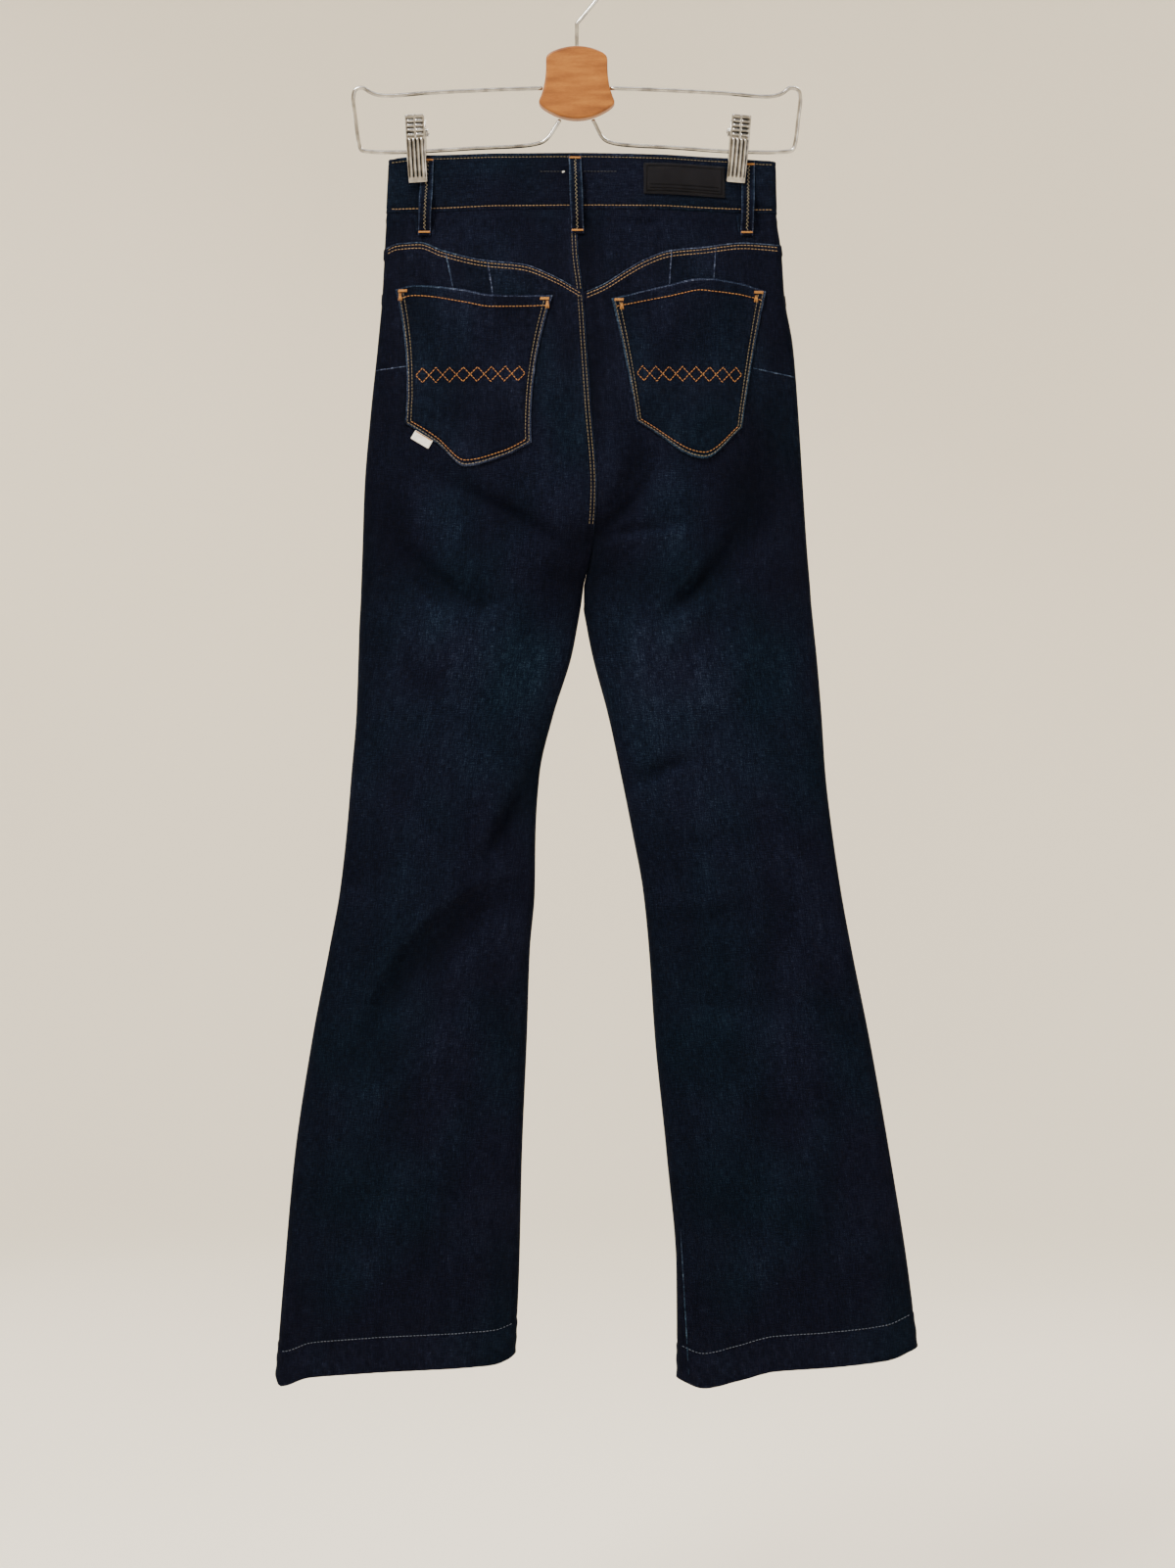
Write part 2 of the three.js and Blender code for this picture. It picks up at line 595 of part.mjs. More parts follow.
function backPocket(side) {
  const pocket = POCKETS[side];
  const mouth = tableCurve(pocket.mouth, 'share', 'z');
  const foot = tableCurve(pocket.foot, 'share', 'z');
  return patchWall({
    face: BACK,
    rows: 11,
    columns: 10,
    xAt: (across, down) => mix(threePoints(pocket.outer, down), threePoints(pocket.inner, down), across),
    zAt: (across, down) => mix(mouth(across), foot(across), down),
    lift: (across, down) =>
      POCKET_LIFT + POCKET_MOUTH_LIFT * Math.sin(Math.PI * across) * Math.max(0, 1 - 5 * down),
    cloth: POCKET_CLOTH,
  });
}

function waistPatch() {
  return patchWall({
    face: BACK,
    rows: 2,
    columns: 6,
    xAt: (across) => mix(PATCH.inner, PATCH.outer, across),
    zAt: (across, down) =>
      mix(PATCH.top, PATCH.foot, down) - PATCH.slope * across * (PATCH.outer - PATCH.inner),
    lift: () => WAIST_RAISE + PATCH.lift,
    cloth: PATCH.cloth,
  });
}

function pocketTab() {
  const along = new THREE.Vector2(Math.cos(TAB.angle), Math.sin(TAB.angle));
  const shift = (across) => (across - 0.5) * TAB.width;
  const drop = (down) => (0.5 - down) * TAB.height;
  return patchWall({
    face: BACK,
    rows: 1,
    columns: 2,
    xAt: (across, down) => TAB.x + shift(across) * along.x - drop(down) * along.y,
    zAt: (across, down) => TAB.z + shift(across) * along.y + drop(down) * along.x,
    lift: () => TAB.lift,
    cloth: TAB.cloth,
  });
}

function flyFlap() {
  return patchWall({
    face: FRONT,
    rows: 9,
    columns: 4,
    xAt: (across, down, z) => centre(z) + mix(-FLY.under, FLY.over, across) * (1 - FLY.taper * down ** 4),
    zAt: (across, down) => {
      const top = waistSeam(mix(-FLY.under, FLY.over, across)) - GAP;
      return top - down * (FLY.length - FLY.shortening * (1 - across) ** 2);
    },
    lift: () => FLY.lift,
    cloth: CLOTH,
  });
}

function flyZip() {
  return patchWall({
    face: FRONT,
    rows: 8,
    columns: 2,
    xAt: (across, down, z) => centre(z) + mix(-ZIP.half, ZIP.half, across),
    zAt: (across, down) => waistSeam(0) - GAP - ZIP.drop - down * ZIP.length,
    lift: () => -CLOTH - GAP - ZIP.cloth,
    cloth: ZIP.cloth,
  });
}

// The waistband: one strip from the under end at the fly, round the back, to the over end.
function waistband() {
  const edgeX = (side, part, z) => outerEdge(side, z) - side * section.edge(z) * part;
  const round = 1 - Math.SQRT1_2;
  const turns = (face, side, parts) => parts.map((part) => ({ face, side, part }));
  const through = (face, places) =>
    places.slice(1).flatMap((to, i) => {
      const count = Math.ceil(Math.abs(to - places[i]) / WAIST_STEP);
      return Array.from({ length: count }, (_, k) => ({ face, x: mix(places[i], to, (k + 1) / count) }));
    });
  const [leftClip, rightClip] = CLIPS.map(({ x }) => [x + CLIP_PINCH.half, x - CLIP_PINCH.half]);
  const nearFlat = (side) => edgeX(side, 2.5, WAIST_MIDDLE);
  const { over, under, rampFrom, ramp } = WAIST_OVERLAP;
  const stations = [
    ...[under, 0, rampFrom, ramp].map((x) => ({ face: FRONT, x, under: true })),
    ...through(FRONT, [ramp, ...rightClip.toReversed(), nearFlat(RIGHT)]),
    ...turns(FRONT, RIGHT, [1, round, 0]),
    ...turns(BACK, RIGHT, [round, 1]),
    { face: BACK, x: nearFlat(RIGHT) },
    ...through(BACK, [nearFlat(RIGHT), ...rightClip, ...leftClip, nearFlat(LEFT)]),
    ...turns(BACK, LEFT, [1, round, 0]),
    ...turns(FRONT, LEFT, [round, 1]),
    { face: FRONT, x: nearFlat(LEFT) },
    ...through(FRONT, [nearFlat(LEFT), ...leftClip.toReversed(), under, 0, over]),
  ];
  const rows = 2;
  const grid = Array.from({ length: rows + 1 }, (_, i) =>
    stations.map((station) => {
      const guess = station.x ?? outerEdge(station.side, WAIST_MIDDLE);
      const z = mix(waistTop(guess), waistSeam(guess), i / rows);
      const x = station.x ?? edgeX(station.side, station.part, z);
      const point = clothPoint(sideOf(x, z), station.face, x, z);
      if (station.part === 0) point.y = 0;
      if (station.under) point.y -= (WAIST_CLOTH + GAP) * (1 - smooth(rampFrom, ramp, x));
      return point;
    }),
  );
  const normals = gridNormals(grid, () => [null, null], new THREE.Vector3(0, BACK, 0));
  const moved = (by) =>
    grid.map((row, i) =>
      row.map((point, j) => point.clone().addScaledVector(normals[i][j], by).setZ(point.z)),
    );
  return wallBetween(moved(WAIST_RAISE), moved(WAIST_RAISE - WAIST_CLOTH));
}

// A belt loop: a strip that stands off the waistband between its two sewn ends.
function beltLoop({ face, topX, footX, rise }) {
  const steps = 10;
  const rows = [];
  for (let i = 0; i <= steps; i += 1) {
    const t = i / steps;
    const x = mix(topX, footX, t);
    const top = waistTop(topX) - 1.5;
    const z = mix(top, LOOP_FOOT, t);
    const surface = Math.max(
      ...[-0.5, 0, 0.5].map((part) => face * clothPoint(sideOf(x, z), face, x + part * LOOP_WIDTH, z).y),
    );
    const onBand = z > waistSeam(x) - 4 ? WAIST_RAISE : 0;
    const lowRise = smooth(LOOP_FOOT + LOOP_SEWN, LOOP_FOOT + LOOP_RAMP, z);
    const shape = smooth(rise, rise - LOOP_RAMP, z) * lowRise;
    const away = surface + onBand + LOOP_SEAT + LOOP_CLOTH + LOOP_STAND * shape;
    rows.push([-0.5, 0.5].map((part) => new THREE.Vector3(x + part * LOOP_WIDTH, face * away, z)));
  }
  const normals = gridNormals(rows, () => [null, null], new THREE.Vector3(0, face, 0));
  const inner = rows.map((row, i) =>
    row.map((point, j) => point.clone().addScaledVector(normals[i][j], -LOOP_CLOTH)),
  );
  return wallBetween(rows, inner);
}

function waistButton() {
  const { radius, height } = BUTTON;
  const profile = [
    [0, 0], [radius * 0.5, 0], [radius * 0.55, height * 0.4], [radius, height * 0.5],
    [radius, height * 0.8], [radius * 0.85, height], [radius * 0.6, height * 0.85], [0, height * 0.85],
  ].map(([r, h]) => new THREE.Vector2(r, h));
  return new THREE.LatheGeometry(profile, 20);
}

// A round wire along a path.
function wireAlong(path, radius, steps, sides) {
  const points = Array.from({ length: sides }, (_, i) => {
    const turn = (i / sides) * 2 * Math.PI;
    return new THREE.Vector2(radius * Math.cos(turn), radius * Math.sin(turn));
  });
  return new THREE.ExtrudeGeometry(new THREE.Shape(points), { steps, extrudePath: path });
}

class HookPath extends THREE.Curve {
  getPoint(t) {
    const { radius, wire, bend, foot, lean, tip } = HOOK;
    const middle = wire - radius;
    const start = THREE.MathUtils.degToRad(lean - 90);
    const touch = new THREE.Vector3(radius * Math.cos(start), 0, middle + radius * Math.sin(start));
    const low = new THREE.Vector3(0, 0, bend);
    const stem = bend - foot;
    const slope = low.distanceTo(touch);
    const sweep = THREE.MathUtils.degToRad(tip) - start;
    const along = t * (stem + slope + radius * sweep);
    if (along <= stem) return new THREE.Vector3(0, 0, foot + along);
    if (along <= stem + slope) return low.lerp(touch, (along - stem) / slope);
    const angle = start + (along - stem - slope) / radius;
    return new THREE.Vector3(radius * Math.cos(angle), 0, middle + radius * Math.sin(angle));
  }
}

function hangerWire(side) {
  const points = WIRES[side].map(({ x, z }) => new THREE.Vector3(x, 0, z));
  return wireAlong(new THREE.CatmullRomCurve3(points, false, 'centripetal'), WIRE_RADIUS, 44, 8);
}

function hangerBlock() {
  const { topHalf, waistHalf, footHalf, crown, shoulder, waist, foot, belly, depth, bevel } = BLOCK;
  const shape = new THREE.Shape();
  shape.moveTo(-topHalf, shoulder);
  shape.quadraticCurveTo(0, 2 * crown - shoulder, topHalf, shoulder);
  shape.quadraticCurveTo(waistHalf - 1, waist - 8, footHalf, foot);
  shape.quadraticCurveTo(0, 2 * belly - foot, -footHalf, foot);
  shape.quadraticCurveTo(1 - waistHalf, waist - 8, -topHalf, shoulder);
  const geometry = new THREE.ExtrudeGeometry(shape, {
    depth: depth - 2 * bevel,
    bevelThickness: bevel,
    bevelSize: bevel,
    bevelOffset: -bevel,
    bevelSegments: 2,
    curveSegments: 7,
  });
  geometry.rotateX(Math.PI / 2);
  geometry.translate(0, depth / 2 - bevel, 0);
  return geometry;
}

function solidOf(geometry) {
  const bare = geometry.clone();
  bare.deleteAttribute('normal');
  bare.deleteAttribute('uv');
  const merged = mergeVertices(bare);
  return new wasm.Manifold(
    new wasm.Mesh({
      numProp: 3,
      vertProperties: new Float32Array(merged.attributes.position.array),
      triVerts: new Uint32Array(merged.index.array),
    }),
  );
}

function geometryOf(solid) {
  const mesh = solid.getMesh();
  const geometry = new THREE.BufferGeometry();
  geometry.setAttribute('position', new THREE.BufferAttribute(new Float32Array(mesh.vertProperties), 3));
  geometry.setIndex(Array.from(mesh.triVerts));
  return geometry;
}

// A side profile of a clip, as distance from the cloth and height, drawn out along X.
function profileBar(face, profile, width, x = 0) {
  const shape = new THREE.Shape(profile.map(([away, height]) => new THREE.Vector2(away, height)));
  const geometry = new THREE.ExtrudeGeometry(shape, { depth: width, bevelEnabled: false });
  geometry.translate(0, 0, -width / 2);
  const turn = new THREE.Matrix4().makeBasis(
    new THREE.Vector3(0, face, 0),
    new THREE.Vector3(0, 0, 1),
    new THREE.Vector3(face, 0, 0),
  );
  geometry.applyMatrix4(turn);
  geometry.translate(x, 0, 0);
  return solidOf(geometry);
}

function clipJaw(face, grip) {
  const { width, sheet, top, foot, rib, ribWidth, ribStep, ridgeWidth, ridgeHeight } = CLIP;
  const { topAway, bulgeAway, bulge, bendAway, bend, lip, cheek, cheekTop, cheekFoot } = JAW;
  const outside = [
    [topAway, top], [bulgeAway, bulge], [bendAway, bend], [grip + lip, foot], [grip, foot],
    [grip, JAW.gripTop], [cheek, cheekFoot], [cheek, cheekTop], [JAW.shoulderAway, top],
  ];
  const hollow = [
    [topAway - sheet, top + 1], [bulgeAway - sheet, bulge], [bendAway - sheet, bend],
    [grip + lip - sheet, foot + sheet], [-1, foot + sheet], [-1, top + 1],
  ];
  let jaw = profileBar(face, outside, width).subtract(profileBar(face, hollow, width - 2 * sheet));
  if (face === FRONT) return geometryOf(jaw);
  const ribFoot = foot + 4;
  const ribLine = [
    [bulgeAway - JAW.inset, -bend], [bulgeAway + rib, -bend], [bendAway + rib, bend],
    [grip + lip + rib + 0.8, ribFoot], [grip + lip + 0.2, ribFoot], [bendAway - JAW.proud, bend],
  ];
  for (let i = 0; i < 4; i += 1) {
    jaw = jaw.add(profileBar(face, ribLine, ribWidth, (i - 1.5) * ribStep));
  }
  for (const height of CLIP_RIDGES) {
    const away = mix(bulgeAway, topAway, (height - bulge) / (top - bulge));
    const ridge = [
      [away - JAW.proud, height - ridgeHeight / 2], [away + rib, height - ridgeHeight / 2],
      [away + rib, height + ridgeHeight / 2], [away - JAW.proud, height + ridgeHeight / 2],
    ];
    jaw = jaw.add(profileBar(face, ridge, ridgeWidth));
  }
  return geometryOf(jaw);
}

function clipSleeve() {
  const inner = WIRE_RADIUS + CLIP.slack;
  const half = CLIP.sleeveHalf;
  const outer = CLIP.sleeve;
  const profile = [[inner, -half], [outer, -half], [outer, half], [inner, half], [inner, -half]];
  const geometry = new THREE.LatheGeometry(profile.map(([r, h]) => new THREE.Vector2(r, h)), 14);
  geometry.rotateZ(Math.PI / 2);
  return geometry;
}

const jeans = new THREE.Group();

function addPiece(parent, name, geometry, material) {
  const mesh = new THREE.Mesh(geometry, material);
  mesh.name = name;
  parent.add(mesh);
  return mesh;
}

for (const side of [LEFT, RIGHT]) {
  const word = side === LEFT ? 'left' : 'right';
  addPiece(jeans, `back_${word}`, backPanel(side), DENIM);
  addPiece(jeans, `front_${word}`, frontPanel(side), DENIM);
  addPiece(jeans, `yoke_${word}`, yokePanel(side), DENIM);
  addPiece(jeans, `facing_${word}`, pocketFacing(side), DENIM);
  addPiece(jeans, `pocket_${word}`, backPocket(side), DENIM);
  addPiece(jeans, `hanger_wire_${word}`, hangerWire(side), CHROME);
}
addPiece(jeans, 'waistband', waistband(), DENIM);
addPiece(jeans, 'fly_flap', flyFlap(), DENIM);
addPiece(jeans, 'fly_zip', flyZip(), ZIP_FINISH);
addPiece(jeans, 'waist_patch', waistPatch(), PATCH_FINISH);
addPiece(jeans, 'pocket_tab', pocketTab(), TAB_FINISH);
for (const loop of LOOPS) {
  addPiece(jeans, loop.name, beltLoop(loop), DENIM);
}

const button = addPiece(jeans, 'waist_button', waistButton(), BRASS);
const buttonSeat = halfDepth(RIGHT, FRONT, BUTTON.x, BUTTON.z) + GAP / 2 + WAIST_RAISE + GAP;
button.position.set(BUTTON.x, buttonSeat, BUTTON.z);

addPiece(jeans, 'hanger_hook', wireAlong(new HookPath(), HOOK.wire, 34, 10), CHROME);
addPiece(jeans, 'hanger_block', hangerBlock(), BEECH);

for (const { name, x, z, tilt } of CLIPS) {
  const clip = new THREE.Group();
  clip.position.set(x, 0, z);
  clip.rotation.y = tilt;
  const clothFace = WAIST_CLOTH + GAP;
  addPiece(clip, `${name}_back_jaw`, clipJaw(BACK, clothFace + LOOP_SEAT + LOOP_CLOTH + GAP), CHROME);
  addPiece(clip, `${name}_front_jaw`, clipJaw(FRONT, clothFace + GAP), CHROME);
  addPiece(clip, `${name}_sleeve`, clipSleeve(), CHROME);
  jeans.add(clip);
}

export default jeans;
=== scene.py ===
"""Flared jeans hung by the waistband from a wire clip hanger: the finished look.

Tables are in millimetres, with the seat side of the jeans facing -Y and +Z up.
"""

import math

import bmesh
import bpy
import numpy as np
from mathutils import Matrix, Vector


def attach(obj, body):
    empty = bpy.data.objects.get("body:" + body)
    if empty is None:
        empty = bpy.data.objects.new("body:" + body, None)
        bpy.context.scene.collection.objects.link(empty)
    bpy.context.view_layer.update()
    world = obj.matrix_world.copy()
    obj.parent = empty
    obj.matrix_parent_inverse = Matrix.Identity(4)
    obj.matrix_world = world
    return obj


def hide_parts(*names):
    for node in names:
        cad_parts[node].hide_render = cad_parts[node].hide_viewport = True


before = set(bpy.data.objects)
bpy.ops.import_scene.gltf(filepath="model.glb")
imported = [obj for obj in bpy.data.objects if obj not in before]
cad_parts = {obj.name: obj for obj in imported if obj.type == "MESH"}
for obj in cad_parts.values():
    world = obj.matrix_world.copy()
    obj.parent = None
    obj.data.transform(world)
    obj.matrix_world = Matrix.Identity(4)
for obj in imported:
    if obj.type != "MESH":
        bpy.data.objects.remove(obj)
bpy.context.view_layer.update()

MM = 0.001
LEFT, RIGHT = -1, 1
BACK, FRONT = -1, 1

# Cloth thickness and the distances that sewn layers stand off each other.
GAP = 0.3
SEAM = 0.15
CLOTH = 1.2
CENTRE_GAP = 0.1
FORK_REACH = 20
HEM_DEPTH = 31.5
HEM_RAISE = 0.5
WAIST_CLOTH = 2.4
WAIST_RAISE = 0.6
POCKET_CLOTH = 1.3
POCKET_LIFT = 0.4
POCKET_MOUTH_LIFT = 1.3
LAP_RAISE = 0.9
LAP_WIDTH = 8.0
LAP_FADE = 2.6
SEAT_CURVE_TOP = -455
FORK = -562
WAIST_SEAM_LEVEL = -225

# Half-width places, edge rounding and half depths of the hanging jeans, from waist to hem.
SECTION_COLUMNS = ("z", "left", "left_inner", "right_inner", "right", "edge", "back", "front")
SECTIONS = (
    (-174, -169, 0, 0, 179, 4, 5, 3),
    (-225, -171.5, 0, 0, 180, 4, 7, 3.5),
    (-263, -173.5, 1.5, 1.5, 184.8, 4.5, 11, 4.5),
    (-301, -175.5, 6, 6, 187.5, 5, 16, 5.5),
    (-345, -179.5, 9, 9, 195, 5, 20, 6.5),
    (-404, -185.7, 13, 13, 199.8, 5.5, 23, 8),
    (-474, -191.5, 18, 18, 204.2, 6, 24, 11),
    (-528, -193.3, 14, 14, 207.7, 6, 22, 14),
    (-562, -194.5, 6.2, 6.2, 210.5, 6, 20, 15),
    (-576, -195, 4.4, 5.6, 211.5, 6, 19.5, 15),
    (-599, -196.2, 0.5, 9, 213.8, 6, 19, 15),
    (-625, -197, -4.6, 14.2, 216.5, 6, 18, 15),
    (-678, -198.9, -21.1, 28.2, 220.9, 6, 15, 13),
    (-731, -203.3, -33.4, 39.6, 224.4, 6, 13, 11),
    (-784, -207.7, -37, 50.2, 230.6, 6, 12, 10),
    (-837, -213.8, -37.8, 59.8, 238.5, 6, 12, 10),
    (-890, -223.5, -42.2, 65.1, 248.2, 6, 12, 10),
    (-969, -238.5, -44.9, 70.4, 264, 6, 12, 10),
    (-1074, -254.3, -49.3, 81, 282.5, 6, 13, 11),
    (-1180, -264, -51.9, 89.8, 299.2, 6, 14, 12),
    (-1290, -272.8, -57.5, 90.4, 312, 6, 15, 13),
)
WAIST_TOP = ((-171, -178.4), (-132, -174.4), (0, -174), (70, -175), (132, -177), (181, -180.6))
WAIST_SEAM = ((-173, -225), (-60, -223.2), (63, -223), (181, -226))

# Seam and edge heights across each side; share runs from the side seam (0) to the centre (1).
YOKE_SEAM = {
    LEFT: ((0, -259), (0.07, -253.5), (0.18, -252.5), (0.3, -260.3), (0.515, -270), (0.71, -274),
           (0.86, -285), (1, -300.8)),
    RIGHT: ((0, -255), (0.18, -253), (0.39, -257.7), (0.55, -261.2), (0.67, -269), (0.78, -280),
            (0.89, -292), (1, -300.8)),
}
HEM_EDGE = {
    LEFT: ((0, -1272), (0.025, -1281), (0.14, -1272.3), (0.24, -1269.5), (0.5, -1265),
           (0.9, -1261.5), (0.97, -1257), (1, -1252)),
    RIGHT: ((0, -1246), (0.04, -1250), (0.125, -1256.5), (0.33, -1261), (0.6, -1265), (0.75, -1274),
            (0.9, -1282), (0.96, -1278), (1, -1274)),
}
SCOOP_SHARE = 0.52
SCOOP_DROP = 74
FACING_SHARE = 0.47
FACING_LAP = 8
FACING_CLOTH = 1.0

# The largest folds, as the solids have them: bent line from start to end, width and depth.
FOLDS = (
    (BACK, 51, -430, 66, -480, -2, -530, 12, 7),
    (BACK, -125, -461, -70, -492, -4, -532, 13, 5),
    (BACK, -176, -450, -150, -592, -62, -572, 15, 5),
    (BACK, 166, -394, 178, -562, 62, -574, 15, 5),
    (BACK, 128, -540, 112, -574, 64, -592, 10, 3),
    (BACK, -36, -836, -130, -850, -198, -984, 14, 6),
    (BACK, -26, -684, -46, -760, -86, -818, 12, 5),
    (BACK, 42, -742, 72, -724, 104, -720, 9, 3.5),
    (BACK, 66, -860, 124, -866, 158, -848, 10, 3),
    (FRONT, 12, -480, 60, -500, 130, -478, 12, 4),
    (FRONT, 8, -500, -50, -508, -118, -484, 12, 4),
    (FRONT, 6, -540, 50, -548, 100, -590, 12, 4),
    (FRONT, 4, -536, -40, -550, -96, -600, 12, 4),
    (FRONT, -44, -830, -120, -862, -196, -950, 14, 4),
    (FRONT, 62, -812, 110, -842, 190, -846, 13, 4),
)
# Smaller creases, placed one by one; bank is the height of the soft ridge on one side of each.
CREASES = (
    (BACK, 70, -499, 80, -501, 94, -509, 4, 1.4, 0.5),
    (BACK, -8, -500, 8, -522, 20, -545, 8, 2.2, 0.6),
    (BACK, -156, -539, -125, -576, -104, -596, 8, 2.2, 0.7),
    (BACK, -96, -580, -80, -582, -60, -572, 7, 2.0, 0.8),
    (BACK, -62, -758, -70, -790, -86, -816, 6, 1.8, 0.6),
    (BACK, -218, -812, -204, -822, -186, -840, 7, 2.2, 0.8),
    (BACK, -78, -1070, -72, -1084, -58, -1096, 5, 1.1, 0.5),
    (BACK, -137, -1100, -118, -1106, -98, -1118, 5, 1.1, 0.5),
    (BACK, -252, -1130, -253, -1190, -258, -1262, 4, 1.7, 0.7),
    (BACK, 150, -560, 120, -612, 66, -640, 13, 2.2, 0.9),
    (BACK, 196, -600, 168, -668, 96, -706, 14, 1.8, 0.7),
    (BACK, 186, -470, 176, -500, 150, -530, 9, 1.6, 0.6),
    (BACK, -186, -600, -140, -660, -60, -676, 14, 1.9, 0.7),
    (BACK, -150, -640, -110, -700, -50, -716, 12, 1.6, 0.6),
    (BACK, -190, -700, -160, -760, -110, -790, 13, 1.5, 0.6),
    (BACK, 60, -790, 110, -800, 170, -780, 10, 1.5, 0.6),
    (BACK, 82, -920, 150, -950, 212, -930, 13, 1.5, 0.5),
    (BACK, 96, -1010, 170, -1046, 240, -1030, 15, 1.3, 0.5),
    (BACK, 110, -1120, 180, -1150, 262, -1130, 14, 1.1, 0.4),
    (BACK, -60, -900, -120, -930, -170, -1010, 12, 1.7, 0.6),
    (BACK, -70, -960, -120, -1010, -190, -1040, 13, 1.3, 0.5),
    (BACK, -90, -1140, -150, -1160, -214, -1150, 13, 1.1, 0.4),
    (BACK, -172, -300, -168, -350, -172, -420, 7, 1.6, 0.5),
    (BACK, 182, -300, 178, -350, 180, -410, 8, 1.8, 0.5),
    (BACK, 22, -300, 26, -350, 30, -410, 7, 1.4, 0.6),
    (BACK, -8, -310, -6, -350, -4, -410, 6, 1.0, 0.4),
    (BACK, 232, -770, 212, -800, 190, -806, 8, 1.6, 0.7),
    (BACK, 262, -940, 246, -964, 226, -966, 8, 1.3, 0.6),
    (BACK, 224, -1200, 230, -1226, 232, -1258, 6, 0.9, 0.4),
    (BACK, 150, -1206, 156, -1236, 160, -1262, 6, 0.8, 0.4),
    (BACK, -180, -1210, -176, -1240, -178, -1266, 6, 0.8, 0.4),
    (BACK, -100, -1206, -96, -1234, -98, -1262, 6, 0.8, 0.4),
    (BACK, 70, -448, 60, -492, 10, -521, 5, 2.8, 1.2),
    (BACK, 14, -524, 52, -508, 98, -509, 5, 2.6, 1.3),
    (BACK, -122, -467, -66, -489, -6, -528, 5.5, 2.8, 1.2),
    (BACK, 148, -506, 120, -560, 70, -594, 6, 2.6, 1.1),
    (BACK, -172, -512, -120, -560, -86, -584, 6.5, 2.6, 1.1),
    (BACK, 112, -560, 84, -592, 60, -622, 7, 2.0, 0.9),
    (BACK, -28, -704, -56, -768, -84, -804, 6, 2.4, 1.0),
    (BACK, -52, -826, -140, -842, -192, -964, 6, 2.4, 1.1),
    (BACK, 44, -744, 76, -728, 112, -712, 5, 2.0, 0.9),
    (BACK, 92, -1140, 94, -1200, 99, -1272, 3.4, 1.5, 0.6),
    (BACK, -147, -392, -136, -393, -125, -398, 4.5, 1.5, 0.7),
    (BACK, -115, -423, -104, -430, -93, -441, 4.5, 1.6, 0.7),
    (BACK, -57, -420, -53, -425, -48, -430, 4.5, 1.4, 0.6),
    (BACK, -140, -412, -126, -418, -108, -416, 6, 1.2, 0.6),
    (BACK, 122, -391, 133, -398, 142, -404, 5, 1.5, 0.7),
    (BACK, 68, -418, 80, -430, 93, -435, 5, 1.5, 0.7),
    (BACK, 108, -428, 120, -424, 132, -414, 5, 1.3, 0.6),
    (BACK, 30, -232, 52, -238, 78, -234, 4.5, 1.2, 0.5),
    (BACK, -26, -236, -18, -246, -14, -262, 4.5, 1.3, 0.6),
    (BACK, -96, -236, -86, -243, -70, -246, 5, 1.0, 0.4),
    (BACK, 96, -300, 112, -292, 124, -286, 5, 0.9, 0.4),
    (FRONT, 30, -500, 60, -520, 96, -526, 7, 1.8, 0.7),
    (FRONT, -20, -520, -54, -536, -92, -540, 7, 1.8, 0.7),
    (FRONT, 150, -500, 120, -560, 66, -590, 13, 2.2, 0.8),
    (FRONT, -150, -510, -116, -566, -54, -592, 13, 2.2, 0.8),
    (FRONT, 190, -620, 150, -670, 80, -690, 14, 1.8, 0.6),
    (FRONT, -180, -630, -130, -690, -52, -700, 14, 1.8, 0.6),
    (FRONT, 76, -760, 130, -780, 196, -760, 11, 1.7, 0.6),
    (FRONT, -60, -770, -120, -800, -176, -776, 11, 1.7, 0.6),
    (FRONT, 84, -900, 150, -930, 224, -906, 13, 1.5, 0.5),
    (FRONT, -58, -900, -130, -940, -196, -1010, 13, 1.5, 0.5),
    (FRONT, 100, -1030, 176, -1060, 250, -1040, 14, 1.2, 0.4),
    (FRONT, -70, -1050, -140, -1080, -220, -1070, 14, 1.2, 0.4),
    (FRONT, 110, -1140, 190, -1160, 270, -1146, 14, 1.0, 0.4),
    (FRONT, -76, -1150, -150, -1170, -230, -1156, 14, 1.0, 0.4),
    (FRONT, 140, -250, 136, -300, 132, -360, 9, 1.4, 0.5),
    (FRONT, -132, -250, -130, -300, -126, -360, 9, 1.4, 0.5),
    (FRONT, 224, -800, 208, -820, 182, -824, 8, 1.5, 0.6),
    (FRONT, -206, -780, -190, -800, -168, -806, 8, 1.5, 0.6),
)
# Places where the indigo is a little washed out (positive amounts) and places made darker (negative
# amounts): painted shadow beside the lapped seat and yoke seams, painted shade in the valleys down the
# sides below the pockets and in the crotch, and darker towards the hems. Centre, reach and amount.
FADES_AND_SHADE = (
    (BACK, -92, -610, 74, 66, 0.5),
    (BACK, -70, -690, 84, 76, 0.45),
    (BACK, 80, -630, 66, 66, 0.5),
    (BACK, 120, -690, 84, 86, 0.45),
    (BACK, -24, -460, 40, 60, 0.5),
    (BACK, -128, -508, 26, 40, 0.45),
    (BACK, 84, -524, 34, 26, 0.6),
    (BACK, 76, -470, 14, 26, 0.5),
    (BACK, 40, -400, 26, 60, 0.35),
    # Painted shadow beside the lapped seat and yoke seams.
    (BACK, 14, -400, 7, 100, -0.9),
    (BACK, 9, -262, 7, 34, -0.9),
    (BACK, -120, -900, 90, 160, 0.1),
    (BACK, 160, -900, 90, 160, 0.1),
    # Painted shade in the valleys down the sides below the pockets and in the crotch.
    (BACK, 150, -480, 40, 80, -0.4),
    (BACK, -180, -520, 30, 110, -0.4),
    (BACK, 0, -560, 44, 34, -0.6),
    # Darker towards the hems.
    (BACK, -160, -1230, 140, 60, -0.25),
    (BACK, 200, -1230, 140, 60, -0.25),
    (FRONT, -100, -620, 70, 120, 0.5),
    (FRONT, 110, -620, 70, 120, 0.5),
    (FRONT, -120, -860, 70, 100, 0.25),
    (FRONT, 140, -860, 70, 100, 0.25),
    # Painted shade in the crotch.
    (FRONT, 0, -540, 40, 40, -0.4),
)

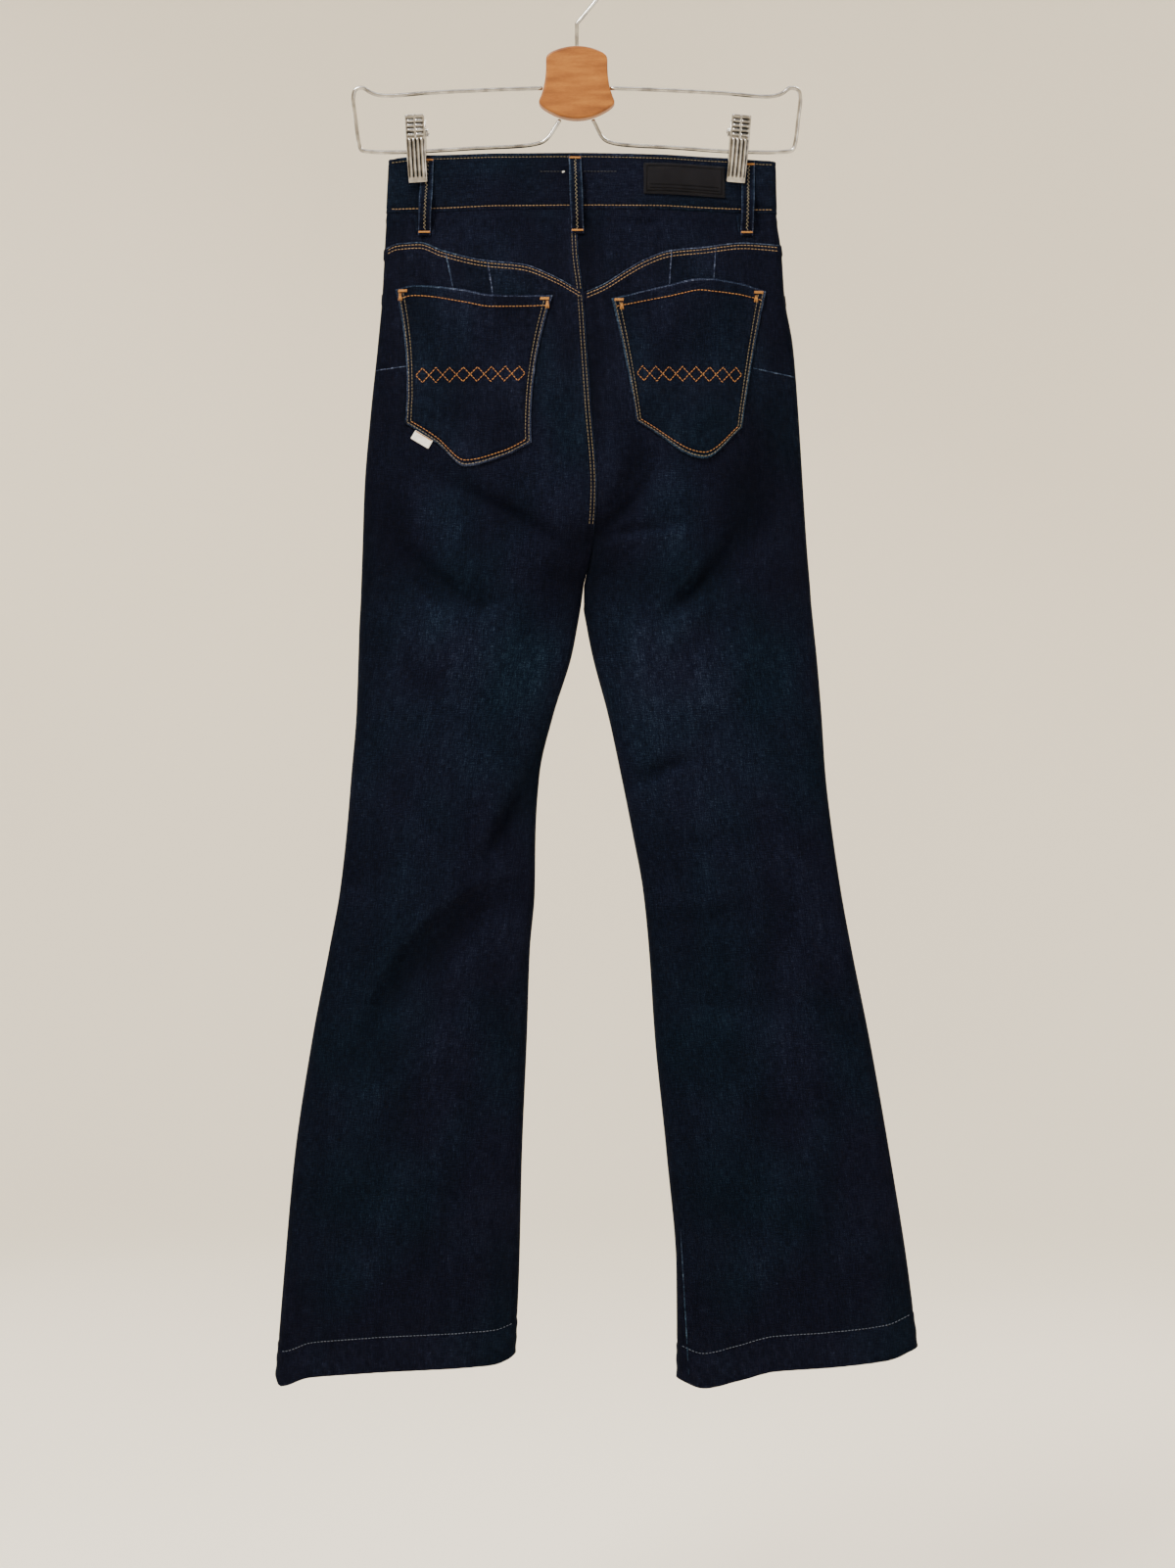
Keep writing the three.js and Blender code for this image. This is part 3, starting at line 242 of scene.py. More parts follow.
# Back patch pockets: side places at mouth, middle and foot, and the mouth and foot edges.
POCKETS = {
    LEFT: {
        "outer": (-161.9, -152.5, -153.1),
        "inner": (-22, -37.5, -40.5),
        "mouth": ((0, -296.4), (0.11, -293), (0.43, -298), (0.62, -303.2), (1, -304.2)),
        "foot": ((0, -416.1), (0.25, -434.5), (0.48, -455.7), (0.78, -447.7), (1, -435.4)),
    },
    RIGHT: {
        "outer": (169, 157, 147),
        "inner": (31.7, 44, 53.7),
        "mouth": ((0, -298.1), (0.18, -291.1), (0.41, -287.6), (0.64, -294.6), (1, -306.9)),
        "foot": ((0, -421), (0.36, -449.1), (1, -416)),
    },
}
POCKET_HEIGHT = 145
POCKET_HEM = 10.5
POCKET_BORDER = 8.0

LOOP_WIDTH = 10.5
LOOP_CLOTH = 1.8
LOOP_STAND = 5.6
LOOP_FOOT = -246
LOOP_SEAT = 0.5
LOOP_RAMP = 16
LOOP_SEWN = 3
LOOPS = (
    ("loop_back_left", BACK, -134.2, -137.2, -201),
    ("loop_back_centre", BACK, -1.6, 0.8, -180),
    ("loop_back_right", BACK, 155, 153, -201),
    ("loop_front_left", FRONT, -88, -89, -180),
    ("loop_front_right", FRONT, 92, 93, -180),
)
PATCH = {"inner": 60.7, "outer": 133, "top": -182.6, "foot": -209.8, "cloth": 1.2, "slope": 0.03,
         "lift": 0.7}
TAB = {"x": -138.5, "z": -431.4, "width": 18, "height": 8, "angle": -0.55, "cloth": 0.8, "lift": 0.4}
FLY = {"over": 16, "under": 22, "length": 168, "shortening": 34, "taper": 0.25, "lift": 0.3}
ZIP = {"half": 11, "length": 150, "drop": 1, "cloth": 1.2}
WAIST_OVERLAP = {"over": 18, "under": -20, "ramp_from": 20, "ramp": 45}
BUTTON = {"x": 3, "z": -199, "radius": 8.5, "height": 4}

WIRE_RADIUS = 1.8
HOOK = {"radius": 22, "wire": 1.75, "bend": -54.5, "foot": -75.2, "lean": 50, "tip": 190}
BLOCK = {"top_half": 28, "waist_half": 27, "foot_half": 35.5, "crown": -75.5, "shoulder": -83.5,
         "waist": -103, "foot": -127.5, "belly": -141.5, "depth": 13, "bevel": 2}
WIRES = {
    LEFT: ((-31.6, -112.6), (-70, -113.8), (-130, -116.6), (-176, -119.2), (-186, -116.4),
           (-193, -112.4), (-199.5, -114), (-201.6, -121), (-199.6, -140), (-196.6, -162),
           (-194.4, -168.2), (-187, -169.8), (-154.9, -170.2), (-95, -167), (-38, -163.2),
           (-28, -159.2), (-15.4, -141.6)),
    RIGHT: ((30.6, -112.6), (70, -114), (130, -117), (175, -120), (185, -117.4), (192.6, -112.4),
            (199.4, -114), (201.6, -121), (199.8, -140), (197, -162), (194.6, -168.2),
            (187, -169.9), (136.9, -169.7), (90, -166.4), (33, -162.2), (24, -158), (14.8, -141.6)),
}
CLIPS = (("clip_left", -144.2, -169.65, -0.053), ("clip_right", 145.6, -169.8, 0.087))
CLIP_PINCH = {"half": 16, "fade_out": 34, "fade_in": 75, "from": -205, "to": -285}


def mix(a, b, t):
    return a + (b - a) * t


def smooth(start, end, value):
    t = np.clip((value - start) / (end - start), 0, 1)
    return t * t * (3 - 2 * t)


def table_curve(rows):
    """A curve through rows of (place, value) that doesn't overshoot between them."""
    rows = sorted(rows)
    places = np.array([row[0] for row in rows], float)
    values = np.array([row[1] for row in rows], float)
    steps = np.diff(values) / np.diff(places)
    slopes = np.empty(len(rows))
    slopes[0], slopes[-1] = steps[0], steps[-1]
    for i in range(1, len(rows) - 1):
        before, after = steps[i - 1], steps[i]
        slopes[i] = 2 * before * after / (before + after) if before * after > 0 else 0

    def curve(at):
        at = np.clip(np.asarray(at, float), places[0], places[-1])
        i = np.clip(np.searchsorted(places, at) - 1, 0, len(places) - 2)
        span = places[i + 1] - places[i]
        t = (at - places[i]) / span
        start = values[i] * (1 + 2 * t) * (1 - t) ** 2
        end = values[i + 1] * (3 - 2 * t) * t ** 2
        bend = slopes[i] * t * (1 - t) ** 2 + slopes[i + 1] * t ** 2 * (t - 1)
        return start + end + span * bend

    return curve


section = {
    name: table_curve([(row[0], row[i]) for row in SECTIONS])
    for i, name in enumerate(SECTION_COLUMNS)
    if i > 0
}
waist_top = table_curve(WAIST_TOP)
waist_seam = table_curve(WAIST_SEAM)
yoke_seam = {side: table_curve(rows) for side, rows in YOKE_SEAM.items()}
hem_edge = {side: table_curve(rows) for side, rows in HEM_EDGE.items()}


def outer_edge(side, z):
    return np.where(np.asarray(side) < 0, section["left"](z), section["right"](z))


def inner_edge(side, z):
    return np.where(np.asarray(side) < 0, section["left_inner"](z), section["right_inner"](z))


def centre(z):
    return section["left_inner"](np.maximum(z, FORK))


def side_of(x, z):
    return np.where(x < centre(z), LEFT, RIGHT)


def leg_share(z):
    """How far the seat has turned under into two legs: 0 above the seat curve, 1 at the fork."""
    t = np.clip((SEAT_CURVE_TOP - z) / (SEAT_CURVE_TOP - FORK), 0, 1)
    return t ** 5 * (6 - 5 * t)


def bent_line(x0, z0, x1, z1, x2, z2, count):
    t = np.linspace(0, 1, count)
    return (mix(mix(x0, x1, t), mix(x1, x2, t), t), mix(mix(z0, z1, t), mix(z1, z2, t), t))


def near_line(line, x, z):
    """Signed distance from a bent line and the share along it."""
    (px, pz), count = line, len(line[0]) - 1
    tx, tz = np.diff(px), np.diff(pz)
    dx, dz = x[:, None] - px[:-1], z[:, None] - pz[:-1]
    t = np.clip((dx * tx + dz * tz) / (tx * tx + tz * tz), 0, 1)
    away = np.hypot(dx - t * tx, dz - t * tz)
    nearest = away.argmin(1)
    each = np.arange(len(x))
    turn = np.sign(dx[each, nearest] * tz[nearest] - dz[each, nearest] * tx[nearest])
    return away[each, nearest] * turn, (nearest + t[each, nearest]) / count


def fold_depth(face, x, z):
    """The depth of the large folds and the small creases at places on one face."""
    depth = np.zeros_like(x)
    for row in [fold + (0,) for fold in FOLDS] + list(CREASES):
        if row[0] != face:
            continue
        width, deep, bank = row[7:]
        line = bent_line(*row[1:7], 17)
        reach = width * 3.2
        near = (x > line[0].min() - reach) & (x < line[0].max() + reach)
        near &= (z > line[1].min() - reach) & (z < line[1].max() + reach)
        if not near.any():
            continue
        away, along = near_line(line, x[near], z[near])
        ends = np.sin(np.pi * mix(0.08, 0.92, along))
        trough = deep * np.exp(-((away / width) ** 2))
        ridge = bank * np.exp(-(((away - 1.7 * width) / width) ** 2))
        depth[near] += ends * (trough - ridge)
    return depth


def drape(face, x, z):
    """The faint unevenness of hanging cloth, up to about half a millimetre."""
    tall = np.sin(x / 21 + 1.3 * np.sin(z / 130) + face) * np.sin(z / 170 + x / 90)
    small = np.sin(x / 8.5 + 2 * np.sin(z / 47 + face)) * np.sin(z / 31 + 1.7 * np.sin(x / 23))
    return 0.34 * tall + 0.12 * small


def edge_rise(distance, radius):
    t = np.clip(distance / radius, 0, 1)
    return np.sqrt(1 - (1 - t) ** 2)


def half_depth(side, face, x, z):
    """How far the outer face of the cloth stands from the middle plane."""
    outer, inner = outer_edge(side, z), inner_edge(side, z)
    share = np.clip((x - outer) / (inner - outer), 0, 1)
    radius = section["edge"](z)
    leg = leg_share(z)
    rise = edge_rise(np.abs(x - outer), radius) * mix(1, edge_rise(np.abs(inner - x), radius), leg)
    bow = mix(1 - (1 - share) ** 2, 4 * share * (1 - share), leg)
    depth = section["back" if face == BACK else "front"](z)
    soft = rise * mix(0.3, 1, np.clip(bow * 2, 0, 1))
    full = radius * rise + depth * bow - (fold_depth(face, x, z) - drape(face, x, z)) * soft
    gripped = np.zeros_like(full)
    for _, clip_x, _, _ in CLIPS:
        fade = np.where(np.abs(x) > abs(clip_x), CLIP_PINCH["fade_out"], CLIP_PINCH["fade_in"])
        near = 1 - smooth(CLIP_PINCH["half"], fade, np.abs(x - clip_x))
        gripped = np.maximum(gripped, near * smooth(CLIP_PINCH["to"], CLIP_PINCH["from"], z))
    least = (2.6 - WAIST_RAISE + GAP / 2) * rise
    return np.maximum(mix(full, least, gripped), least)


def cloth(face, x, z, lift=0.0, side=None):
    """Points on the outer face of the cloth, moved out along its normal, and those normals."""
    x, z = np.broadcast_arrays(np.asarray(x, float).ravel(), np.asarray(z, float).ravel())
    side = side_of(x, z) if side is None else side
    step = 1.5
    middle = half_depth(side, face, x, z)
    across = (half_depth(side, face, x + step, z) - half_depth(side, face, x - step, z)) / (2 * step)
    down = (half_depth(side, face, x, z + step) - half_depth(side, face, x, z - step)) / (2 * step)
    normal = np.stack([-across, np.full_like(x, face), -down], 1)
    normal /= np.linalg.norm(normal, axis=1, keepdims=True)
    point = np.stack([x, face * (GAP / 2 + middle), z], 1)
    return point + normal * np.broadcast_to(np.asarray(lift, float), x.shape)[:, None], normal


def fade_and_shade_at(face, x, z):
    amount = np.zeros_like(x)
    for fade_face, cx, cz, rx, rz, strength in FADES_AND_SHADE:
        if fade_face == face:
            amount += strength * np.exp(-(((x - cx) / rx) ** 2) - ((z - cz) / rz) ** 2)
    return amount


def make_mesh(name, points, groups, attributes=None):
    """A smooth mesh from points in millimetres and arrays of faces of equal size."""
    mesh = bpy.data.meshes.new(name)
    mesh.vertices.add(len(points))
    mesh.vertices.foreach_set("co", (np.asarray(points, float) * MM).astype(np.float32).ravel())
    loops = np.concatenate([np.asarray(group).ravel() for group in groups]).astype(np.int32)
    sizes = np.concatenate([np.full(len(group), np.shape(group)[1]) for group in groups])
    mesh.loops.add(len(loops))
    mesh.loops.foreach_set("vertex_index", loops)
    mesh.polygons.add(len(sizes))
    mesh.polygons.foreach_set("loop_start", np.concatenate([[0], np.cumsum(sizes)[:-1]]).astype(np.int32))
    mesh.polygons.foreach_set("use_smooth", sizes < 12)
    for key, values in (attributes or {}).items():
        values = np.asarray(values, np.float32)
        vector = values.ndim == 2
        layer = mesh.attributes.new(key, "FLOAT_VECTOR" if vector else "FLOAT", "POINT")
        layer.data.foreach_set("vector" if vector else "value", values.ravel())
    mesh.update(calc_edges=True)
    mesh.validate()
    if len(groups) > 1:
        turned = bmesh.new()
        turned.from_mesh(mesh)
        bmesh.ops.recalc_face_normals(turned, faces=turned.faces)
        turned.to_mesh(mesh)
        turned.free()
    return mesh


def add_piece(name, mesh, material, replaces=()):
    piece = bpy.data.objects.new(name, mesh)
    bpy.context.scene.collection.objects.link(piece)
    mesh.materials.clear()
    mesh.materials.append(material)
    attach(piece, "root")
    if replaces:
        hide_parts(*replaces)
    return piece


def grid_faces(rows, columns, start=0, closed=False):
    i, j = np.meshgrid(np.arange(rows - 1), np.arange(columns if closed else columns - 1), indexing="ij")
    i, j = i.ravel(), j.ravel()
    k = (j + 1) % columns
    above, below = i * columns, (i + 1) * columns
    return start + np.stack([above + j, below + j, below + k, above + k], 1)


def grid_normals(grid, before=None, after=None, outward=(0, 1, 0)):
    """Unit normals of a grid of points; before and after are the points past each row's ends."""
    first = grid[:, :1] if before is None else before[:, None]
    last = grid[:, -1:] if after is None else after[:, None]
    wide = np.concatenate([first, grid, last], 1)
    across = wide[:, 2:] - wide[:, :-2]
    tall = np.concatenate([grid[:1], grid, grid[-1:]], 0)
    down = tall[2:] - tall[:-2]
    normal = np.cross(across, down)
    normal /= np.linalg.norm(normal, axis=2, keepdims=True) + 1e-12
    middle = normal[len(grid) // 2, grid.shape[1] // 2]
    return normal if middle @ np.array(outward, float) > 0 else -normal


def shell(outer, inner, rim=3):
    """A closed thin wall between two grids of points, with half-round rims."""
    rows, columns = outer.shape[:2]
    points = [outer.reshape(-1, 3), inner.reshape(-1, 3)]
    index = np.arange(rows * columns).reshape(rows, columns)
    loop = np.concatenate([index[0, :-1], index[:-1, -1], index[-1, :0:-1], index[:0:-1, 0]])
    flat_outer, flat_inner = points
    inward = np.zeros_like(outer)
    inward[0] += outer[1] - outer[0]
    inward[-1] += outer[-2] - outer[-1]
    inward[:, 0] += outer[:, 1] - outer[:, 0]
    inward[:, -1] += outer[:, -2] - outer[:, -1]
    off = -inward.reshape(-1, 3)[loop]
    off /= np.linalg.norm(off, axis=1, keepdims=True) + 1e-12
    middle = (flat_outer[loop] + flat_inner[loop]) / 2
    arm = (flat_outer[loop] - flat_inner[loop]) / 2
    radius = np.linalg.norm(arm, axis=1, keepdims=True)
    rings = [loop]
    count = 2 * rows * columns
    for k in range(1, rim + 1):
        angle = math.pi * k / (rim + 1)
        points.append(middle + arm * math.cos(angle) + off * radius * math.sin(angle))
        rings.append(np.arange(len(loop)) + count)
        count += len(loop)
    rings.append(loop + rows * columns)
    faces = [grid_faces(rows, columns), grid_faces(rows, columns, rows * columns)[:, ::-1]]
    for a, b in zip(rings[:-1], rings[1:]):
        faces.append(np.stack([a, np.roll(a, -1), np.roll(b, -1), b], 1))
    source = np.concatenate([index.ravel(), index.ravel()] + [loop] * rim)
    return np.concatenate(points), outward_faces(np.concatenate(points), np.concatenate(faces)), source


def outward_faces(points, faces):
    a, b, c, d = (points[faces[:, k]] for k in range(4))
    volume = np.einsum("ij,ij->i", a, np.cross(b, c)).sum() + np.einsum("ij,ij->i", a, np.cross(c, d)).sum()
    return faces if volume > 0 else faces[:, ::-1]


def shell_piece(name, outer, inner, material, weave, shade, replaces=(), rim=3):
    points, faces, source = shell(outer, inner, rim)
    flat = weave.reshape(-1, 2)[source] * MM
    attributes = {
        "weave": np.column_stack([flat, np.zeros(len(flat))]),
        "shade": shade.ravel()[source],
    }
    return add_piece(name, make_mesh(name, points, [faces], attributes), material, replaces)


def lapped(distance):
    """The raised band along a lapped seam, by distance from its edge."""
    return LAP_RAISE * (1 - smooth(LAP_WIDTH, LAP_WIDTH + LAP_FADE, distance))


def pucker(along, distance, pitch, reach):
    """Small uneven ripples across a row of stitching."""
    wave = np.sin(2 * np.pi * along / pitch + 1.4 * np.sin(along / 37)) * (0.7 + 0.3 * np.sin(along / 19))
    return wave * np.exp(-((distance / reach) ** 2))


def panel_lift(side, face, x, z, outer, inner):
    share = np.clip((x - outer) / (inner - outer), 0, 1)
    lift = np.zeros_like(x)
    hem = z - hem_edge[side](share)
    roping = np.sin(2 * np.pi * (x + 0.8 * hem) / 12.5 + 1.2 * np.sin(x / 31))
    window = smooth(HEM_DEPTH + 5, HEM_DEPTH - 5, hem)
    lift += HEM_RAISE * window + 0.3 * roping * smooth(HEM_DEPTH + 3, HEM_DEPTH - 10, hem)
    lift -= 0.55 * np.exp(-(((hem - HEM_DEPTH) / 2.2) ** 2))
    lift += 0.25 * pucker(x, hem - HEM_DEPTH - 3, 12.5, 8)
    if face == BACK:
        below = yoke_seam[side](share) - z
        lift += lapped(below) + 0.16 * pucker(x, below - 12, 15, 7)
        if side == LEFT:
            from_centre = centre(z) - x
            seat = smooth(FORK - 4, FORK + 14, z)
            lift += lapped(from_centre) * seat
            lift += 0.2 * pucker(z, from_centre - 12, 14, 7) * seat
        else:
            lift += 0.2 * pucker(z, x - centre(z) - 5, 14, 7) * smooth(FORK - 4, FORK + 14, z)
    else:
        scoop = waist_seam(x) - scoop_drop(share) - z
        lift += 0.7 * LAP_RAISE * (1 - smooth(LAP_WIDTH, LAP_WIDTH + LAP_FADE, scoop))
        lift += 0.15 * pucker(x, scoop - 11, 14, 7)
    return lift


def scoop_drop(share):
    return SCOOP_DROP * (1 - np.clip(share / SCOOP_SHARE, 0, 1) ** 2) ** 0.75


def waist_x(side, share):
    return mix(outer_edge(side, WAIST_SEAM_LEVEL), inner_edge(side, WAIST_SEAM_LEVEL), share)


def across_places(side, z, step):
    """Column places as 0 to 1 on the outer rounding, 1 to 2 flat, 2 to 3 on the inner rounding."""
    width = float(np.abs(inner_edge(side, z) - outer_edge(side, z)))
    turn = np.linspace(0, 1, 5)
    flat = np.linspace(1, 2, int(width / step) + 1)
    return np.concatenate([turn[:-1], flat, 2 + turn[1:]])


def column_x(side, z, place):
    outer, inner = outer_edge(side, z), inner_edge(side, z)
    reach = np.abs(inner - outer)
    radius = section["edge"](z)
    first = radius * (1 - np.cos(np.clip(place, 0, 1) * np.pi / 2))
    flat = (reach - 2 * radius) * np.clip(place - 1, 0, 1)
    last = radius * np.sin(np.clip(place - 2, 0, 1) * np.pi / 2)
    return mix(outer, inner, (first + flat + last) / reach)


def panel(name, side, face, top, foot, step, lift_of, material, replaces, stops=()):
    """A leg or yoke wall between a top edge and a foot edge given as heights by share."""
    places = across_places(side, -900 if foot is hem_edge[side] else -250, step)
    levels = [top, *stops, foot]
    rows = []
    for upper, lower in zip(levels[:-1], levels[1:]):
        count = max(2, int(abs(upper(0.5) - lower(0.5)) / step))
        for t in np.arange(count if lower is not foot else count + 1) / count:
            rough = mix(upper(0.5), lower(0.5), t)
            at = column_x(side, rough, places)
            share = (at - outer_edge(side, rough)) / (inner_edge(side, rough) - outer_edge(side, rough))
            rows.append(mix(upper(share), lower(share), t))
    z = np.array(rows)
    x = column_x(side, z, np.broadcast_to(places, z.shape))
    y = face * (GAP / 2 + half_depth(side, face, x.ravel(), z.ravel())).reshape(x.shape)
    grid = np.stack([x, y, z], 2)
    mirror = np.array([1, -1, 1])
    before = grid[:, 1] * mirror
    leg = leg_share(z[:, -1])[:, None]
    level = grid[:, -1] * 2 - grid[:, -2]
    level[:, 1] = grid[:, -2, 1]
    after = np.where(leg >= 1, grid[:, -2] * mirror, np.where(leg > 0, grid[:, -1], level))
    normal = grid_normals(grid, before, after, (0, face, 0))
    outer_x, inner_x = outer_edge(side, z), inner_edge(side, z)
    lift = lift_of(side, face, x, z, outer_x, inner_x)

    def kept(points):
        """Keep a wall on its own side of the middle plane and, above the fork, of the centre line."""
        x, y, z = points[..., 0], points[..., 1], points[..., 2]
        points[..., 1] = np.minimum(y, -GAP / 2) if face == BACK else np.maximum(y, GAP / 2)
        off = side * CENTRE_GAP
        limit = (np.minimum if side == LEFT else np.maximum)(x, centre(z) + off)
        points[..., 0] = np.where(z > FORK - FORK_REACH, limit, x)
        return points

    skin = kept(grid + normal * lift[..., None])
    lining = kept(grid + normal * (lift - CLOTH)[..., None])
    for sheet in (skin, lining):
        sheet[0, :, 2], sheet[-1, :, 2] = z[0], z[-1]
    weave = np.stack([x - (outer_x + inner_x) / 2, z], 2)
    # The shade attribute: washed-out and darker places from the table, darker within about 9 mm of the
    # edges, painted shade in the fold troughs and painted light on their banks, and lighter where the cloth
    # is raised and darker in its dips (partly edge wear, partly painted light and shade).
    seam_dark = np.exp(-np.abs(x - outer_x) / 9) + np.exp(-np.abs(inner_x - x) / 9) * leg_share(z)
    folds = fold_depth(face, x.ravel(), z.ravel()).reshape(x.shape)
    shade = fade_and_shade_at(face, x, z) - 0.5 * seam_dark - 0.13 * folds
    shade += 0.35 * (lift - 0.3)
    return shell_piece(name, skin, lining, material, weave, shade, replaces)


def yoke_lift(side, face, x, z, outer, inner):
    seam_ridge = waist_seam(x) - z
    lift = 0.45 * np.exp(-(((seam_ridge - 7) / 2.4) ** 2)) + 0.12 * pucker(x, seam_ridge - 12, 14, 7)
    if side == LEFT:
        lift += lapped(centre(z) - x)
    return lift


def build_panels(denim):
    def scooped(side):
        def height(share):
            return waist_seam(waist_x(side, share)) - SEAM - scoop_drop(share)
        return height

    for side, word in ((LEFT, "left"), (RIGHT, "right")):
        hem_top = lambda share, side=side: hem_edge[side](share) + HEM_DEPTH
        fork = lambda share: FORK + 0 * np.asarray(share, float)
        below_yoke = lambda share, side=side: yoke_seam[side](share) - SEAM
        below_waist = lambda share, side=side: waist_seam(waist_x(side, share)) - SEAM
        panel(f"back_leg_{word}", side, BACK, below_yoke, hem_edge[side], 2.5, panel_lift, denim,
              (f"back_{word}",), (fork, hem_top))
        panel(f"front_leg_{word}", side, FRONT, scooped(side), hem_edge[side], 3.2, panel_lift, denim,
              (f"front_{word}",), (fork, hem_top))
        panel(f"back_yoke_{word}", side, BACK, below_waist, yoke_seam[side], 1.8, yoke_lift, denim,
              (f"yoke_{word}",))


def laid_piece(name, face, rows, columns, place, lift, thick, material, replaces,
               weave=None, shade=None):
    """A piece that lies on a panel: place gives x and z for shares across and down."""
    across, down = np.meshgrid(np.linspace(0, 1, columns), np.linspace(0, 1, rows))
    x, z = place(across.ravel(), down.ravel())
    off = lift(across.ravel(), down.ravel())
    points, normal = cloth(face, x, z, off)
    skin = points.reshape(rows, columns, 3)
    lining = (points - normal * thick).reshape(rows, columns, 3)
    flat = np.stack([x, z], 1) if weave is None else weave(across.ravel(), down.ravel())
    tone = np.zeros(rows * columns) if shade is None else shade(across.ravel(), down.ravel())
    return shell_piece(name, skin, lining, material, flat, tone, replaces)


def three_points(row, t):
    a, b, c = row
    return a * (1 - t) * (1 - 2 * t) + 4 * b * t * (1 - t) + c * t * (2 * t - 1)


def pocket_place(side):
    pocket = POCKETS[side]
    mouth, foot = table_curve(pocket["mouth"]), table_curve(pocket["foot"])

    def place(across, down):
        x = mix(three_points(pocket["outer"], down), three_points(pocket["inner"], down), across)
        return x, mix(mouth(across), foot(across), down)

    return place


def pocket_lift(side):
    width = abs(POCKETS[side]["inner"][1] - POCKETS[side]["outer"][1])

    def lift(across, down):
        from_side = np.minimum(across, 1 - across) * width
        from_foot = (1 - down) * POCKET_HEIGHT
        edge = np.minimum(from_side, from_foot)
        border = 0.55 * (1 - smooth(POCKET_BORDER, POCKET_BORDER + 2.2, edge))
        hem = 0.4 * (1 - smooth(POCKET_HEM, POCKET_HEM + 2, down * POCKET_HEIGHT))
        mouth = POCKET_MOUTH_LIFT * np.sin(np.pi * across) * np.maximum(0, 1 - 5 * down)
        along = np.where(from_foot < from_side, across * width, down * POCKET_HEIGHT)
        ripple = 0.3 * pucker(along + 9 * side, edge - POCKET_BORDER - 4, 13, 8)
        crumple = 0.5 * np.exp(-((from_foot - 22) / 16) ** 2)
        crumple = crumple * np.sin(across * 31 + side) * np.sin(across * np.pi)
        return POCKET_LIFT + POCKET_CLOTH + border + hem + mouth + ripple + crumple

    return lift


def pocket_shade(side):
    width = abs(POCKETS[side]["inner"][1] - POCKETS[side]["outer"][1])

    def shade(across, down):
        edge = np.minimum(np.minimum(across, 1 - across) * width, (1 - down) * POCKET_HEIGHT)
        # Lighter along the edges and the mouth (edge wear and painted highlight), darker in a band about 5
        # mm in from the edges.
        wear_and_painted_light = 1.5 * np.exp(-((edge / 1.2) ** 2)) + 1.4 * np.exp(-((down * POCKET_HEIGHT / 1.3) ** 2))
        patchy = 0.3 * np.sin(across * 9 + 2 * side) * np.sin(down * 7 + 1)
        return wear_and_painted_light + patchy - 0.35 * np.exp(-(((edge - 5) / 3) ** 2))

    return shade


def build_pockets(denim):
    for side, word in ((LEFT, "left"), (RIGHT, "right")):
        laid_piece(f"back_pocket_{word}", BACK, 90, 80, pocket_place(side), pocket_lift(side),
                   POCKET_CLOTH, denim, (f"pocket_{word}",), shade=pocket_shade(side))


def build_facings(denim):
    for side, word in ((LEFT, "left"), (RIGHT, "right")):
        def place(across, down, side=side):
            share = across * FACING_SHARE
            top = waist_seam(waist_x(side, share)) - SEAM
            z = mix(top, top - scoop_drop(share) - FACING_LAP, down)
            edge = outer_edge(side, z) - side * section["edge"](z)
            return mix(edge, inner_edge(side, z), share), z
        laid_piece(f"pocket_facing_{word}", FRONT, 26, 34, place, lambda a, d: -1.9 + 0 * a,
                   FACING_CLOTH, denim, (f"facing_{word}",))


def fly_place(across, down):
    over, under = FLY["over"], FLY["under"]
    top = waist_seam(mix(-under, over, across)) - GAP
    z = top - down * (FLY["length"] - FLY["shortening"] * (1 - across) ** 2)
    return centre(z) + mix(-under, over, across) * (1 - FLY["taper"] * down ** 4), z


def build_fly(denim, zip_finish):
    def lift(across, down):
        edge = (1 - across) * (FLY["over"] + FLY["under"])
        return FLY["lift"] + 1.4 + 0.3 * (1 - smooth(2, 4, edge)) + 0.15 * np.sin(down * 60) * across

    # Its shade is lighter along the folded edge: edge wear and painted highlight.
    laid_piece("fly_front", FRONT, 70, 24, fly_place, lift, 1.3, denim, ("fly_flap",),
               shade=lambda across, down: 0.8 * np.exp(-(((1 - across) * 38 / 1.2) ** 2)))

    def tape(across, down):
        z = waist_seam(0) - GAP - ZIP["drop"] - down * ZIP["length"]
        return centre(z) + mix(-ZIP["half"], ZIP["half"], across), z

    def teeth(across, down):
        ridge = np.exp(-(((across - 0.5) / 0.12) ** 2))
        return -2.2 + 0.5 * ridge * (0.5 + 0.5 * np.sin(down * ZIP["length"] * np.pi))

    laid_piece("zip_strip", FRONT, 302, 12, tape, teeth, 0.8, zip_finish, ("fly_zip",))


def patch_place(across, down):
    x = mix(PATCH["inner"], PATCH["outer"], across)
    drop = PATCH["slope"] * across * (PATCH["outer"] - PATCH["inner"])
    return x, mix(PATCH["top"], PATCH["foot"], down) - drop + 0.8 * np.sin(np.pi * across)


